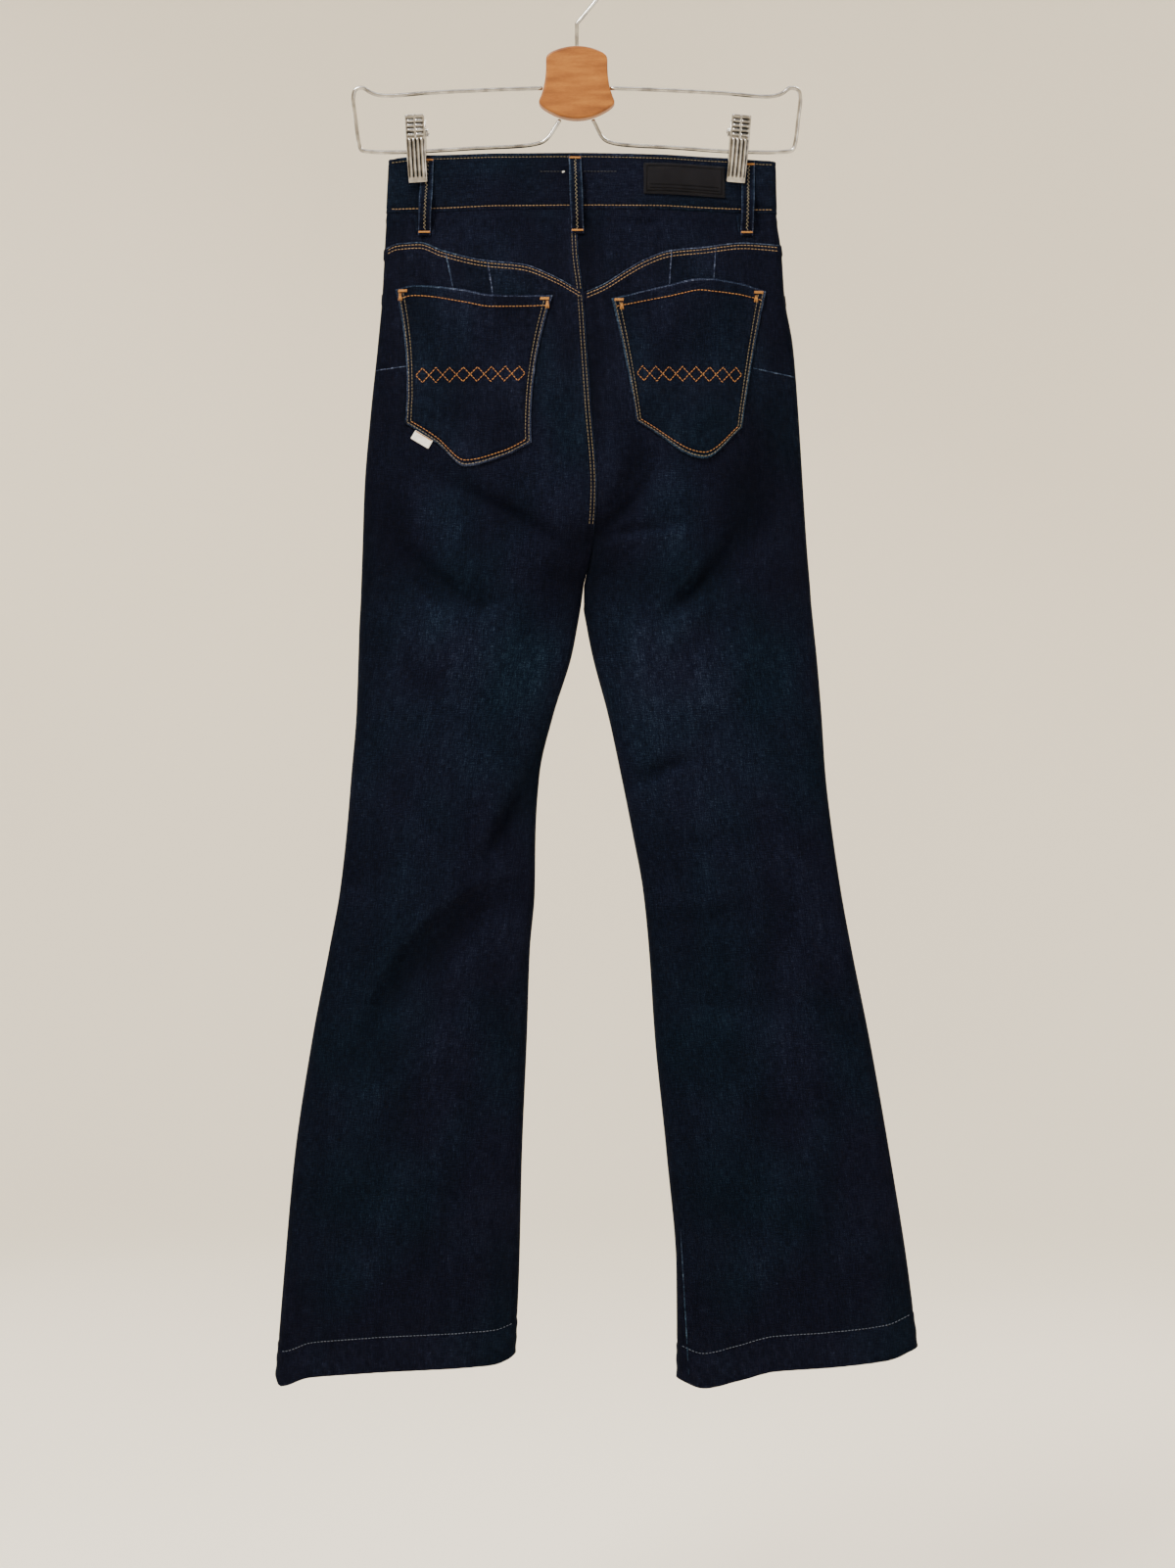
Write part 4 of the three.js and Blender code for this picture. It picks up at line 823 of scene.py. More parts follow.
def build_patch(leather):
    width, height = PATCH["outer"] - PATCH["inner"], PATCH["top"] - PATCH["foot"]

    def lift(across, down):
        edge = np.minimum(np.minimum(across, 1 - across) * width, np.minimum(down, 1 - down) * height)
        frame_line = 0.32 * np.exp(-(((edge - 2.4) / 0.5) ** 2))
        inside = smooth(4.5, 5.5, np.minimum(across, 1 - across) * width)
        lines = sum(0.28 * np.exp(-(((down * height - at) / 0.45) ** 2)) for at in (19.2, 22.4))
        swell = 0.35 * smooth(0, 2.0, edge)
        return WAIST_RAISE + PATCH["lift"] + PATCH["cloth"] - 0.3 + swell - frame_line - lines * inside

    def pressed_lines_and_highlight(across, down):
        # Lighter right at the edges, a painted highlight; darker along the pressed frame line and the two
        # pressed lines.
        edge = np.minimum(np.minimum(across, 1 - across) * width, np.minimum(down, 1 - down) * height)
        frame_line = np.exp(-(((edge - 2.4) / 0.6) ** 2))
        inside = smooth(4.5, 5.5, np.minimum(across, 1 - across) * width)
        lines = sum(np.exp(-(((down * height - at) / 0.55) ** 2)) for at in (19.2, 22.4))
        return 0.25 * np.exp(-((edge / 0.7) ** 2)) - frame_line - lines * inside

    laid_piece("waistband_patch", BACK, 72, 150, patch_place, lift, 1.1, leather, ("waist_patch",),
               shade=pressed_lines_and_highlight)


def build_tab(woven):
    ax, az = math.cos(TAB["angle"]), math.sin(TAB["angle"])

    def place(across, down):
        shift, drop = (across - 0.5) * TAB["width"], (0.5 - down) * TAB["height"]
        return TAB["x"] + shift * ax - drop * az, TAB["z"] + shift * az + drop * ax

    def lift(across, down):
        return TAB["lift"] + TAB["cloth"] + 0.25 * np.sin(across * 5) * down

    laid_piece("side_tab", BACK, 12, 24, place, lift, 0.7, woven, ("pocket_tab",))
    across = np.linspace(0.04, 0.96, 20)
    x, z = place(across, np.full(20, 0.06))
    sew(sewn["gold"], BACK, x, z, TAB["lift"] + TAB["cloth"], pitch=2.2, length=1.9, width=1.0)


def waist_stations():
    """Places round the waistband: face, x, the turn round a side edge, and how far it is tucked under."""
    over, under = WAIST_OVERLAP["over"], WAIST_OVERLAP["under"]
    spots = []

    def run(face, start, end):
        count = int(abs(end - start) / 3.0)
        spots.extend((face, x, 0, 0.0) for x in np.linspace(start, end, count, endpoint=False))

    def turn(side, first):
        angles = np.linspace(1, 0, 6)[:-1] if first else np.linspace(0, 1, 6)
        face = (FRONT if side == RIGHT else BACK) if first else (BACK if side == RIGHT else FRONT)
        spots.extend((face, None, side, 1 - math.cos(a * math.pi / 2)) for a in angles)

    run(FRONT, under, 174)
    turn(RIGHT, True)
    turn(RIGHT, False)
    run(BACK, 174, -165)
    turn(LEFT, True)
    turn(LEFT, False)
    run(FRONT, -165, over)
    spots.append((FRONT, over, 0, 0.0))
    return spots


def build_waistband(denim):
    spots = waist_stations()
    levels = 0.5 - 0.5 * np.cos(np.linspace(0, np.pi, 27))
    grid = np.zeros((len(levels), len(spots), 3))
    start_of_under = len([1 for spot in spots[:40] if spot[0] == FRONT])
    for j, (face, place, side, part) in enumerate(spots):
        guess = place if side == 0 else float(outer_edge(side, -200))
        z = mix(waist_top(guess), waist_seam(guess), levels)
        x = np.full_like(z, place) if side == 0 else outer_edge(side, z) - side * section["edge"](z) * part
        y = face * (GAP / 2 + half_depth(side_of(x, z), face, x, z))
        if side != 0 and part == 0:
            y = np.zeros_like(y)
        if j < start_of_under:
            y = y - (WAIST_CLOTH + GAP) * (1 - smooth(WAIST_OVERLAP["ramp_from"], WAIST_OVERLAP["ramp"], x))
        grid[:, j] = np.stack([x, y, z], 1)
    normal = grid_normals(grid, outward=(0, -1, 0))
    face = np.array([spot[0] for spot in spots])[None]
    lift = waist_lift(face, grid[..., 0], grid[..., 2])
    skin = grid + normal * lift[..., None]
    lining = grid + normal * (WAIST_RAISE - WAIST_CLOTH)
    skin[..., 2] = mix(skin[..., 2], grid[..., 2], (levels[:, None] == 0) | (levels[:, None] == 1))
    lining[..., 2] = grid[..., 2]
    steps = np.linalg.norm(np.diff(grid[len(levels) // 2], axis=0), axis=1)
    run = np.concatenate([[0], np.cumsum(steps)])
    weave = np.stack([grid[..., 2], np.broadcast_to(run, grid.shape[:2])], 2)
    drop = waist_top(grid[..., 0]) - grid[..., 2]
    rise = grid[..., 2] - waist_seam(grid[..., 0])
    # Lighter at the folded top edge (edge wear and painted highlight) and where the band is raised (edge
    # wear and painted light), uneven along the band, and darker in a band about 5 mm above the lower edge.
    shade = 0.8 * np.exp(-((drop / 1.5) ** 2)) + 0.15 * np.sin(run[None] / 40) + 0.5 * (lift - WAIST_RAISE)
    shade = shade - 0.3 * np.exp(-(((rise - 5) / 3) ** 2))
    return shell_piece("waist_strip", skin, lining, denim, weave, shade, ("waistband",), rim=5)


def waist_lift(face, x, z):
    """The waistband's outer face off the cloth: ripples between its rows of stitching."""
    drop, rise = waist_top(x) - z, z - waist_seam(x)
    lift = WAIST_RAISE + 0.16 * pucker(x + 3 * face, drop - 4.5, 11, 5)
    lift = lift + 0.2 * pucker(x - 5 * face, rise - 5, 12, 6)
    return lift - 0.3 * np.exp(-(((drop - 2.6) / 1.2) ** 2)) - 0.3 * np.exp(-(((rise - 2.6) / 1.2) ** 2))


def loop_line(face, top_x, foot_x, rise, count):
    """Middle line of a belt loop's outer face, from its top to its foot."""
    t = np.linspace(0, 1, count)
    x = mix(top_x, foot_x, t)
    z = mix(waist_top(top_x) - 1.5, LOOP_FOOT, t)
    surface = np.full(count, -1e9)
    for part in (-0.5, 0, 0.5):
        at = x + part * LOOP_WIDTH
        surface = np.maximum(surface, GAP / 2 + half_depth(side_of(at, z), face, at, z))
    on_band = WAIST_RAISE * smooth(waist_seam(x) - 7, waist_seam(x) - 3, z)
    bulge = smooth(rise, rise - LOOP_RAMP, z) * smooth(LOOP_FOOT + LOOP_SEWN, LOOP_FOOT + LOOP_RAMP, z)
    return x, surface + on_band + LOOP_SEAT + LOOP_CLOTH + LOOP_STAND * bulge, z


def build_loops(denim):
    for name, face, top_x, foot_x, rise in LOOPS:
        x, away, z = loop_line(face, top_x, foot_x, rise, 44)
        across = np.linspace(-0.5, 0.5, 15)
        crown = 0.35 * (1 - (2 * np.abs(across)) ** 6)
        seam = -0.22 * np.exp(-((np.abs(across * LOOP_WIDTH) / 1.0) ** 2))
        wobble = 0.25 * np.sin(z / 5.5)[:, None] * across[None]
        wide = x[:, None] + across[None] * LOOP_WIDTH * (1 + 0.03 * np.sin(z / 7))[:, None]
        stand = face * (away[:, None] - 0.3 + crown + seam + wobble)
        grid = np.stack([wide, stand, np.broadcast_to(z[:, None], wide.shape)], 2)
        normal = grid_normals(grid, outward=(0, face, 0))
        lining = grid - normal * (LOOP_CLOTH - 0.3)
        weave = np.stack([np.broadcast_to(across * LOOP_WIDTH, wide.shape) + 40, grid[..., 2]], 2)
        # Lighter along the loop's folded edges (edge wear and painted highlight), a little darker
        # elsewhere.
        shade = 2.2 * np.exp(-(((np.abs(across) - 0.5) * LOOP_WIDTH / 0.9) ** 2)) - 0.25
        shade = np.broadcast_to(shade, wide.shape)
        shell_piece(f"belt_{name}", grid, lining, denim, weave, shade, (name,), rim=3)
        if face == BACK:
            build_loop_tail(name, face, foot_x, denim)


def build_loop_tail(name, face, foot_x, denim):
    """The loop's folded end, which lies under it and shows at its left."""
    def place(across, down):
        return foot_x - 4.2 + (across - 0.5) * 8.5 + 1.2 * down, mix(-228.5, LOOP_FOOT + 2.5, down)

    def lift(across, down):
        return 1.3 + 0.5 * np.sin(np.pi * down) + 0 * across

    # Lighter along its folded edge (edge wear and painted highlight), a little darker elsewhere.
    laid_piece(f"{name}_tail", face, 16, 9, place, lift, 1.0, denim, (),
               shade=lambda across, down: 0.7 * np.exp(-((across * 8.5 / 0.9) ** 2)) - 0.2)


# Thread colours, each a list of rows of stitches: place, direction, normal, length, width and height.
sewn = {"gold": [], "straw": [], "khaki": [], "tan": [], "grey": [], "dark": [], "pale": []}
STITCH = {"pitch": 3.1, "length": 2.3, "width": 0.62, "height": 0.5, "proud": 0.08}


def lay_points(rows, points, along, normal, length, width, height):
    along = along / np.linalg.norm(along, axis=1, keepdims=True)
    sizes = np.broadcast_to(np.array([length, width, height], float), (len(points), 3))
    rows.append(np.column_stack([points, along, normal, sizes]))


def lay(rows, face, x, z, tx, tz, lift, length, width, height):
    """Stitches at places on one face, with directions given in the flat."""
    point, normal = cloth(face, x, z, lift)
    lean = -(tx * normal[:, 0] + tz * normal[:, 2]) / normal[:, 1]
    lay_points(rows, point, np.stack([tx, lean, tz], 1), normal, length, width, height)


def sew(rows, face, x, z, lift, pitch=STITCH["pitch"], length=STITCH["length"], width=STITCH["width"]):
    """A row of stitches along a line on one face; lift is the height of the cloth it is sewn to."""
    run = np.concatenate([[0], np.cumsum(np.hypot(np.diff(x), np.diff(z)))])
    count = max(1, round(run[-1] / pitch))
    at = (np.arange(count) + 0.5) * run[-1] / count
    place = lambda values, where: np.interp(where, run, values)
    tx = place(x, at + 0.4) - place(x, at - 0.4)
    tz = place(z, at + 0.4) - place(z, at - 0.4)
    high = place(np.broadcast_to(lift, x.shape), at) + STITCH["proud"]
    lay(rows, face, place(x, at), place(z, at), tx, tz, high, length, width, STITCH["height"])


def tack(rows, face, x, z, lift, width, height, angle=0.0):
    """A bartack: a dense bar of short stitches side by side."""
    count = max(3, round(width / 0.62))
    shift = (np.arange(count) - (count - 1) / 2) * width / count
    ax, az = math.cos(angle), math.sin(angle)
    tilt = 0.16 * (-1.0) ** np.arange(count)
    across, down = x + shift * ax, z + shift * az
    lay(rows, face, across, down, -az + tilt * ax, ax + tilt * az, lift + 0.15, height, 0.66, 0.75)


def build_thread(name, rows, material):
    data = np.concatenate(rows)
    point, along, normal = data[:, None, None, :3], data[:, None, None, 3:6], data[:, None, None, 6:9]
    length, width, height = (data[:, None, None, k, None] for k in (9, 10, 11))
    side = np.cross(along, normal)
    place = np.array([-0.5, -0.34, 0.34, 0.5])[None, :, None, None]
    thick = np.array([0.4, 1, 1, 0.4])[None, :, None, None] / 2
    turn = (np.arange(5) * 2 * np.pi / 5 + np.pi / 2)[None, None, :, None]
    points = point + along * place * length
    points = points + side * np.cos(turn) * thick * width + normal * np.sin(turn) * thick * height
    starts = 20 * np.arange(len(data))[:, None, None]
    wall = (grid_faces(4, 5, closed=True)[None] + starts).reshape(-1, 4)
    caps = (np.array([np.arange(5), 19 - np.arange(5)])[None] + starts).reshape(-1, 5)
    mesh = make_mesh(name, points.reshape(-1, 3), [wall, caps])
    return add_piece(name, mesh, material)


def panel_height(side, face, x, z):
    return panel_lift(side, face, x, z, outer_edge(side, z), inner_edge(side, z))


def share_line(side, height, shares):
    z = height(shares)
    return mix(outer_edge(side, z), inner_edge(side, z), shares), z


def beside(x, z, distance):
    """A line moved sideways by a distance."""
    tx, tz = np.gradient(x), np.gradient(z)
    length = np.hypot(tx, tz)
    return x - distance * tz / length, z + distance * tx / length


def sew_panels():
    for side in (LEFT, RIGHT):
        for below, colour in ((2.8, "straw"), (5.9, "straw")):
            x, z = share_line(side, lambda s: yoke_seam[side](s) - below, np.linspace(0.02, 0.985, 160))
            sew(sewn[colour], BACK, x, z, panel_height(side, BACK, x, z))
        for face in (BACK, FRONT):
            shares = np.linspace(0.02, 0.98, 200)
            x, z = share_line(side, lambda s: hem_edge[side](s) + HEM_DEPTH - 0.6, shares)
            sew(sewn["grey"], face, x, z, panel_height(side, face, x, z) - 0.05, length=2.2)
        for apart in (2.6, 5.6):
            shares = np.linspace(0, SCOOP_SHARE - 0.01, 140)
            edge = waist_seam(waist_x(side, shares)) - SEAM - scoop_drop(shares)
            x, z = mix(outer_edge(side, edge), inner_edge(side, edge), shares), edge
            x, z = beside(x, z, apart * side)
            keep = (np.abs(x) < np.abs(outer_edge(side, z)) - 1.5) & (z < waist_seam(x) - 1.5)
            sew(sewn["gold"], FRONT, x[keep], z[keep], panel_height(side, FRONT, x, z)[keep])
    for apart in (2.0, 5.0):
        z = np.linspace(-226, -298, 50)
        x = centre(z) - apart
        sew(sewn["khaki"], BACK, x, z, yoke_lift(LEFT, BACK, x, z, None, None))
        z = np.linspace(-303, -508, 120)
        x = centre(z) - apart
        sew(sewn["khaki"], BACK, x, z, panel_height(LEFT, BACK, x, z))


def sew_waistband():
    for face in (BACK, FRONT):
        for start, end in ((-167, 0), (0, 176)):
            x = np.linspace(start, end, 160)
            for z, colour in ((waist_top(x) - 2.6, "khaki"), (waist_seam(x) + 2.6, "straw")):
                sew(sewn[colour], face, x, z, waist_lift(face, x, z))
    for start, end in ((-33, -12), (6, 36)):
        x = np.linspace(start, end, 20)
        sew(sewn["dark"], BACK, x, np.full_like(x, -190), waist_lift(BACK, x, np.full_like(x, -190)))
    tack(sewn["pale"], BACK, -12, -190.3, WAIST_RAISE, 2.2, 1.7, 0.4)


def sew_pockets():
    for side in (LEFT, RIGHT):
        place, lift = pocket_place(side), pocket_lift(side)
        width = abs(POCKETS[side]["inner"][1] - POCKETS[side]["outer"][1])
        t = np.linspace(0, 1, 120)

        def row(colour, across, down):
            x, z = place(across, down)
            sew(sewn[colour], BACK, x, z, lift(across, down))

        row("gold", mix(0.015, 0.985, t), np.full_like(t, (POCKET_HEM - 0.7) / POCKET_HEIGHT))
        for apart, colour in ((1.6, "khaki"), (4.6, "khaki")):
            share, foot = apart / width, 1 - apart / POCKET_HEIGHT
            row(colour, np.full_like(t, share), mix(0.01, foot, t))
            row(colour, np.full_like(t, 1 - share), mix(0.01, foot, t))
            row("gold" if apart > 2 else colour, mix(share, 1 - share, t), np.full_like(t, foot))
        mouth, foot = table_curve(POCKETS[side]["mouth"]), table_curve(POCKETS[side]["foot"])
        for mirror in (-1, 1):
            across = mix(0.07, 0.93, np.linspace(0, 1, 300))
            wave = 2 / np.pi * np.arcsin(np.sin(2 * np.pi * 4 * np.linspace(0, 1, 300)))
            down = (mouth(across) + 374 - mirror * 6.5 * wave) / (mouth(across) - foot(across))
            row("gold", across, down)
        for share, sign in ((4.6 / width, 1), (1 - 4.6 / width, -1)):
            x, z = place(np.array([share]), np.array([0.02]))
            high = float(lift(np.array([share]), np.array([0.02]))[0])
            tack(sewn["gold"], BACK, x[0], z[0], high, 8, 2.6)
            tack(sewn["gold"], BACK, x[0] - sign * 2.4, z[0] - 5.5, high - 0.2, 2.6, 7)


def sew_fly():
    t = np.linspace(0, 1, 120)
    for apart in (0.09, 0.17):
        down = np.concatenate([mix(0.01, 0.86, t), mix(0.86, 0.96 - apart * 0.3, np.sin(t * np.pi / 2))])
        across = np.concatenate([np.full_like(t, apart), mix(apart, 0.95, 1 - np.cos(t * np.pi / 2))])
        x, z = fly_place(across, down)
        sew(sewn["gold"], FRONT, x, z, FLY["lift"] + 1.5)
    x, z = fly_place(np.array([0.7]), np.array([0.93]))
    tack(sewn["gold"], FRONT, x[0], z[0], FLY["lift"] + 1.5, 2.6, 8)


def sew_loops():
    for _, face, top_x, foot_x, rise in LOOPS:
        x, away, z = loop_line(face, top_x, foot_x, rise, 60)
        path = np.stack([x, face * (away - 0.12), z], 1)
        run = np.concatenate([[0], np.cumsum(np.linalg.norm(np.diff(path, axis=0), axis=1))])
        at = np.arange(4, run[-1] - 4, 1.75)
        points = np.stack([np.interp(at, run, path[:, k]) for k in range(3)], 1)
        along = np.stack([np.interp(at + 0.6, run, path[:, k]) for k in range(3)], 1) - points
        swing = (-1.0) ** np.arange(len(at))
        points[:, 0] += 0.5 * swing
        along = along / np.linalg.norm(along, axis=1, keepdims=True)
        along[:, 0] += 0.45 * swing
        normal = np.cross(along, np.array([1.0, 0, 0]))
        normal *= face * np.sign(normal[:, 1:2])
        normal /= np.linalg.norm(normal, axis=1, keepdims=True)
        lay_points(sewn["tan"], points, along, normal, 1.9, 0.6, 0.55)
        for place, high in ((2, 0.3), (len(z) - 3, 0.3)):
            bar_x = x[place] + np.linspace(-0.46, 0.46, 16) * LOOP_WIDTH
            bars = np.stack([bar_x, np.full(16, face * (away[place] + high)), np.full(16, z[place])], 1)
            tilt = np.stack([0.16 * (-1.0) ** np.arange(16), np.zeros(16), np.ones(16)], 1)
            lay_points(sewn["gold"], bars, tilt, np.tile([0.0, face, 0.0], (16, 1)), 1.7, 0.65, 0.6)


def bead(face, x, z, lift, width, height, tone, slots):
    """A thin raised ridge along a line, lighter than the cloth (edge wear and painted highlight), as rows
    of points for one joined mesh.
    """
    across = np.linspace(-1, 1, 7)
    tx, tz = np.gradient(x), np.gradient(z)
    length = np.hypot(tx, tz)
    fade = np.sin(np.pi * np.clip(np.linspace(0.02, 0.98, len(x)), 0, 1)) ** 0.35
    uneven = 0.75 + 0.25 * np.sin(np.arange(len(x)) * 0.9 + x[0]) * np.sin(np.arange(len(x)) * 0.37)
    half = width / 2 * fade * uneven
    bx = x[:, None] - across[None] * (half * tz / length)[:, None]
    bz = z[:, None] + across[None] * (half * tx / length)[:, None]
    high = np.sqrt(np.maximum(0, 1 - across ** 2)) * height - 0.12
    rise = np.broadcast_to(lift, x.shape)[:, None] + high[None] * fade[:, None]
    points, _ = cloth(face, bx.ravel(), bz.ravel(), rise.ravel())
    flat = np.stack([bx.ravel(), bz.ravel()], 1)
    shade = (2.1 * tone * (1 - 0.4 * np.abs(across))[None] * (0.7 + 0.6 * (uneven - 0.5))[:, None]).ravel()
    slots.append((points, flat, shade, len(x)))


def build_beads(denim):
    slots = []
    t = np.linspace(0, 1, 240)
    for side in (LEFT, RIGHT):
        x, z = share_line(side, lambda s: yoke_seam[side](s) - 0.7, mix(0.01, 0.99, t))
        bead(BACK, x, z, LAP_RAISE, 1.5, 0.3, 1.5, slots)
        place, lift = pocket_place(side), pocket_lift(side)
        edges = ((mix(0.02, 0.98, t), 0.005 + 0 * t), (0.006 + 0 * t, mix(0.02, 0.98, t)),
                 (0.994 + 0 * t, mix(0.02, 0.98, t)), (mix(0.02, 0.98, t), 0.994 + 0 * t))
        for across, down in edges:
            x, z = place(across, down)
            bead(BACK, x, z, lift(across, down), 1.3, 0.25, 1.3, slots)
    z = np.linspace(-228, -300, 60)
    bead(BACK, centre(z) - 0.7, z, LAP_RAISE, 1.1, 0.25, 0.9, slots)
    z = np.linspace(-303, -512, 180)
    bead(BACK, centre(z) - 0.7, z, LAP_RAISE, 1.2, 0.25, 0.9, slots)
    z = np.linspace(-1140, -1271, 120)
    x = mix(91, 98.6, (z + 1140) / -131)
    bead(BACK, x + 2.2, z, panel_height(RIGHT, BACK, x, z), 1.6, 0.3, 1.2, slots)
    for x0, z0, x1, z1 in DARTS:
        s = np.linspace(0, 1, 40)
        x, z = mix(x0, x1, s), mix(z0, z1, s)
        side = LEFT if x0 < 0 else RIGHT
        bead(BACK, x, z, panel_height(side, BACK, x, z), 2.0, 0.5, 1.3, slots)
    faces, points, flats, shades, start = [], [], [], [], 0
    for line, flat, shade, rows in slots:
        faces.append(grid_faces(rows, 7, start))
        points.append(line)
        flats.append(flat)
        shades.append(shade)
        start += len(line)
    flat = np.concatenate(flats) * MM
    attributes = {"weave": np.column_stack([flat, np.zeros(len(flat))]), "shade": np.concatenate(shades)}
    # The lighter ridges along seam, pocket and dart edges: edge wear and painted highlight.
    mesh = make_mesh("edge_wear_and_highlights", np.concatenate(points), [np.concatenate(faces)], attributes)
    return add_piece("edge_wear_and_highlights", mesh, denim)


DARTS = (
    (-118, -261, -111, -295),
    (-80, -270, -75, -302.5),
    (85, -261, 83, -295),
    (125, -257, 123, -286),
    (-181, -368, -153, -365),
    (158, -367, 196, -374),
)


def tube(name, path, radius, sides, material, replaces=()):
    """A round wire along points, with its frame carried along without twist."""
    path = np.asarray(path, float)
    along = np.gradient(path, axis=0)
    along /= np.linalg.norm(along, axis=1, keepdims=True)
    up = np.zeros_like(path)
    start = np.cross(along[0], [0, 1.0, 0])
    up[0] = start if np.linalg.norm(start) > 0.3 else np.cross(along[0], [1.0, 0, 0])
    up[0] /= np.linalg.norm(up[0])
    for i in range(1, len(path)):
        carried = up[i - 1] - along[i] * (up[i - 1] @ along[i])
        up[i] = carried / np.linalg.norm(carried)
    right = np.cross(along, up)
    thick = np.broadcast_to(np.asarray(radius, float), (len(path),)).copy()
    path_in = np.concatenate([path[:1], path, path[-1:]])
    thick_in = np.concatenate([thick[:1] * 0.55, thick, thick[-1:] * 0.55])
    path_in[0] = path[0] - along[0] * thick[0] * 0.5
    path_in[-1] = path[-1] + along[-1] * thick[-1] * 0.5
    up_in = np.concatenate([up[:1], up, up[-1:]])
    right_in = np.concatenate([right[:1], right, right[-1:]])
    turn = np.arange(sides) * 2 * np.pi / sides
    ring = up_in[:, None] * np.cos(turn)[None, :, None] + right_in[:, None] * np.sin(turn)[None, :, None]
    points = (path_in[:, None] + ring * thick_in[:, None, None]).reshape(-1, 3)
    rows = len(path_in)
    caps = np.array([np.arange(sides)[::-1], (rows - 1) * sides + np.arange(sides)])
    mesh = make_mesh(name, points, [grid_faces(rows, sides, closed=True)[:, ::-1], caps])
    return add_piece(name, mesh, material, replaces)


def centripetal(points, steps):
    """The centripetal spline through points, as the solids' wires follow it."""
    points = np.asarray(points, float)
    points = np.concatenate([[2 * points[0] - points[1]], points, [2 * points[-1] - points[-2]]])
    line = []
    for i in range(1, len(points) - 2):
        p0, p1, p2, p3 = points[i - 1:i + 3]
        d0, d1, d2 = (max(np.linalg.norm(b - a) ** 0.5, 1e-6) for a, b in ((p0, p1), (p1, p2), (p2, p3)))
        m1 = ((p1 - p0) / d0 - (p2 - p0) / (d0 + d1) + (p2 - p1) / d1) * d1
        m2 = ((p2 - p1) / d1 - (p3 - p1) / (d1 + d2) + (p3 - p2) / d2) * d1
        t = np.linspace(0, 1, steps, endpoint=False)[:, None]
        square, cube = 3 * (p2 - p1) - 2 * m1 - m2, 2 * (p1 - p2) + m1 + m2
        line.append(p1 + m1 * t + square * t ** 2 + cube * t ** 3)
    line.append(points[-2:-1])
    return np.concatenate(line)


def hook_path():
    radius, middle = HOOK["radius"], HOOK["wire"] - HOOK["radius"]
    start = math.radians(HOOK["lean"] - 90)
    touch = np.array([radius * math.cos(start), 0, middle + radius * math.sin(start)])
    low = np.array([0, 0, HOOK["bend"]], float)
    foot = np.array([0, 0, HOOK["foot"]], float)
    stem = foot + (low - foot) * np.linspace(0, 1, 20, endpoint=False)[:, None]
    slope = low + (touch - low) * np.linspace(0, 1, 20, endpoint=False)[:, None]
    angle = np.linspace(start, math.radians(HOOK["tip"]), 90)
    bow = np.stack([radius * np.cos(angle), 0 * angle, middle + radius * np.sin(angle)], 1)
    return np.concatenate([stem, slope, bow])


def build_block(beech):
    def bend(a, control, b, count=24):
        t = np.linspace(0, 1, count, endpoint=False)[:, None]
        a, control, b = (np.array(p, float) for p in (a, control, b))
        return (1 - t) ** 2 * a + 2 * t * (1 - t) * control + t * t * b

    top, waist, foot = BLOCK["top_half"], BLOCK["waist_half"], BLOCK["foot_half"]
    shoulder, low = BLOCK["shoulder"], BLOCK["foot"]
    outline = np.concatenate([
        bend((-top, shoulder), (0, 2 * BLOCK["crown"] - shoulder), (top, shoulder)),
        bend((top, shoulder), (waist - 1, BLOCK["waist"] - 8), (foot, low)),
        bend((foot, low), (0, 2 * BLOCK["belly"] - low), (-foot, low)),
        bend((-foot, low), (1 - waist, BLOCK["waist"] - 8), (-top, shoulder)),
    ])
    for _ in range(4):
        outline = (np.roll(outline, 1, axis=0) + 2 * outline + np.roll(outline, -1, axis=0)) / 4
    middle = np.array([0.0, BLOCK["waist"] - 6])
    inward = middle - outline
    inward /= np.linalg.norm(inward, axis=1, keepdims=True)
    half, bevel = BLOCK["depth"] / 2, BLOCK["bevel"]
    rounding = [(bevel * (1 - math.cos(a)), -half + bevel * (1 - math.sin(a)))
                for a in np.linspace(np.pi / 2, 0, 7)]
    profile = [(9.0, -half), (bevel + 0.5, -half)] + rounding
    profile += [(inset, -y) for inset, y in profile[::-1]]
    rings = [np.column_stack([outline + inward * inset, np.full(len(outline), y)])[:, [0, 2, 1]]
             for inset, y in profile]
    count = len(outline)
    points = np.concatenate(rings + [np.array([[0, -half, middle[1]], [0, half, middle[1]]])])
    last = (len(rings) - 1) * count
    around = np.arange(count)
    after = np.roll(around, -1)
    caps = np.concatenate([
        np.stack([after, around, np.full(count, len(points) - 2)], 1),
        np.stack([last + around, last + after, np.full(count, len(points) - 1)], 1),
    ])
    mesh = make_mesh("beech_block", points, [grid_faces(len(rings), count, closed=True), caps])
    return add_piece("beech_block", mesh, beech, ("hanger_block",))


JAW = {"top_away": 12.6, "bulge_away": 13.6, "bulge": 9, "bend_away": 13, "bend": -8, "lip": 2.2,
       "cheek": 2.5, "cheek_top": 6, "cheek_foot": -3, "grip_top": -4, "shoulder_away": 10}
CLIP = {"width": 17.5, "sheet": 1.2, "top": 30, "foot": -29, "rib": 0.7,
        "rib_step": 3.6, "ridge_width": 12.5, "sleeve": 4.8, "sleeve_half": 5.5,
        "slack": 0.6}
CLIP_RIDGES = (24.7, 20.5, 16.3, 12.1)


def clip_place(points, clip):
    """Points of a clip's own frame, tilted and moved to its place on the wire."""
    _, x, z, tilt = clip
    turned = points.copy()
    turned[..., 0] = x + points[..., 0] * math.cos(tilt) + points[..., 2] * math.sin(tilt)
    turned[..., 2] = z - points[..., 0] * math.sin(tilt) + points[..., 2] * math.cos(tilt)
    return turned


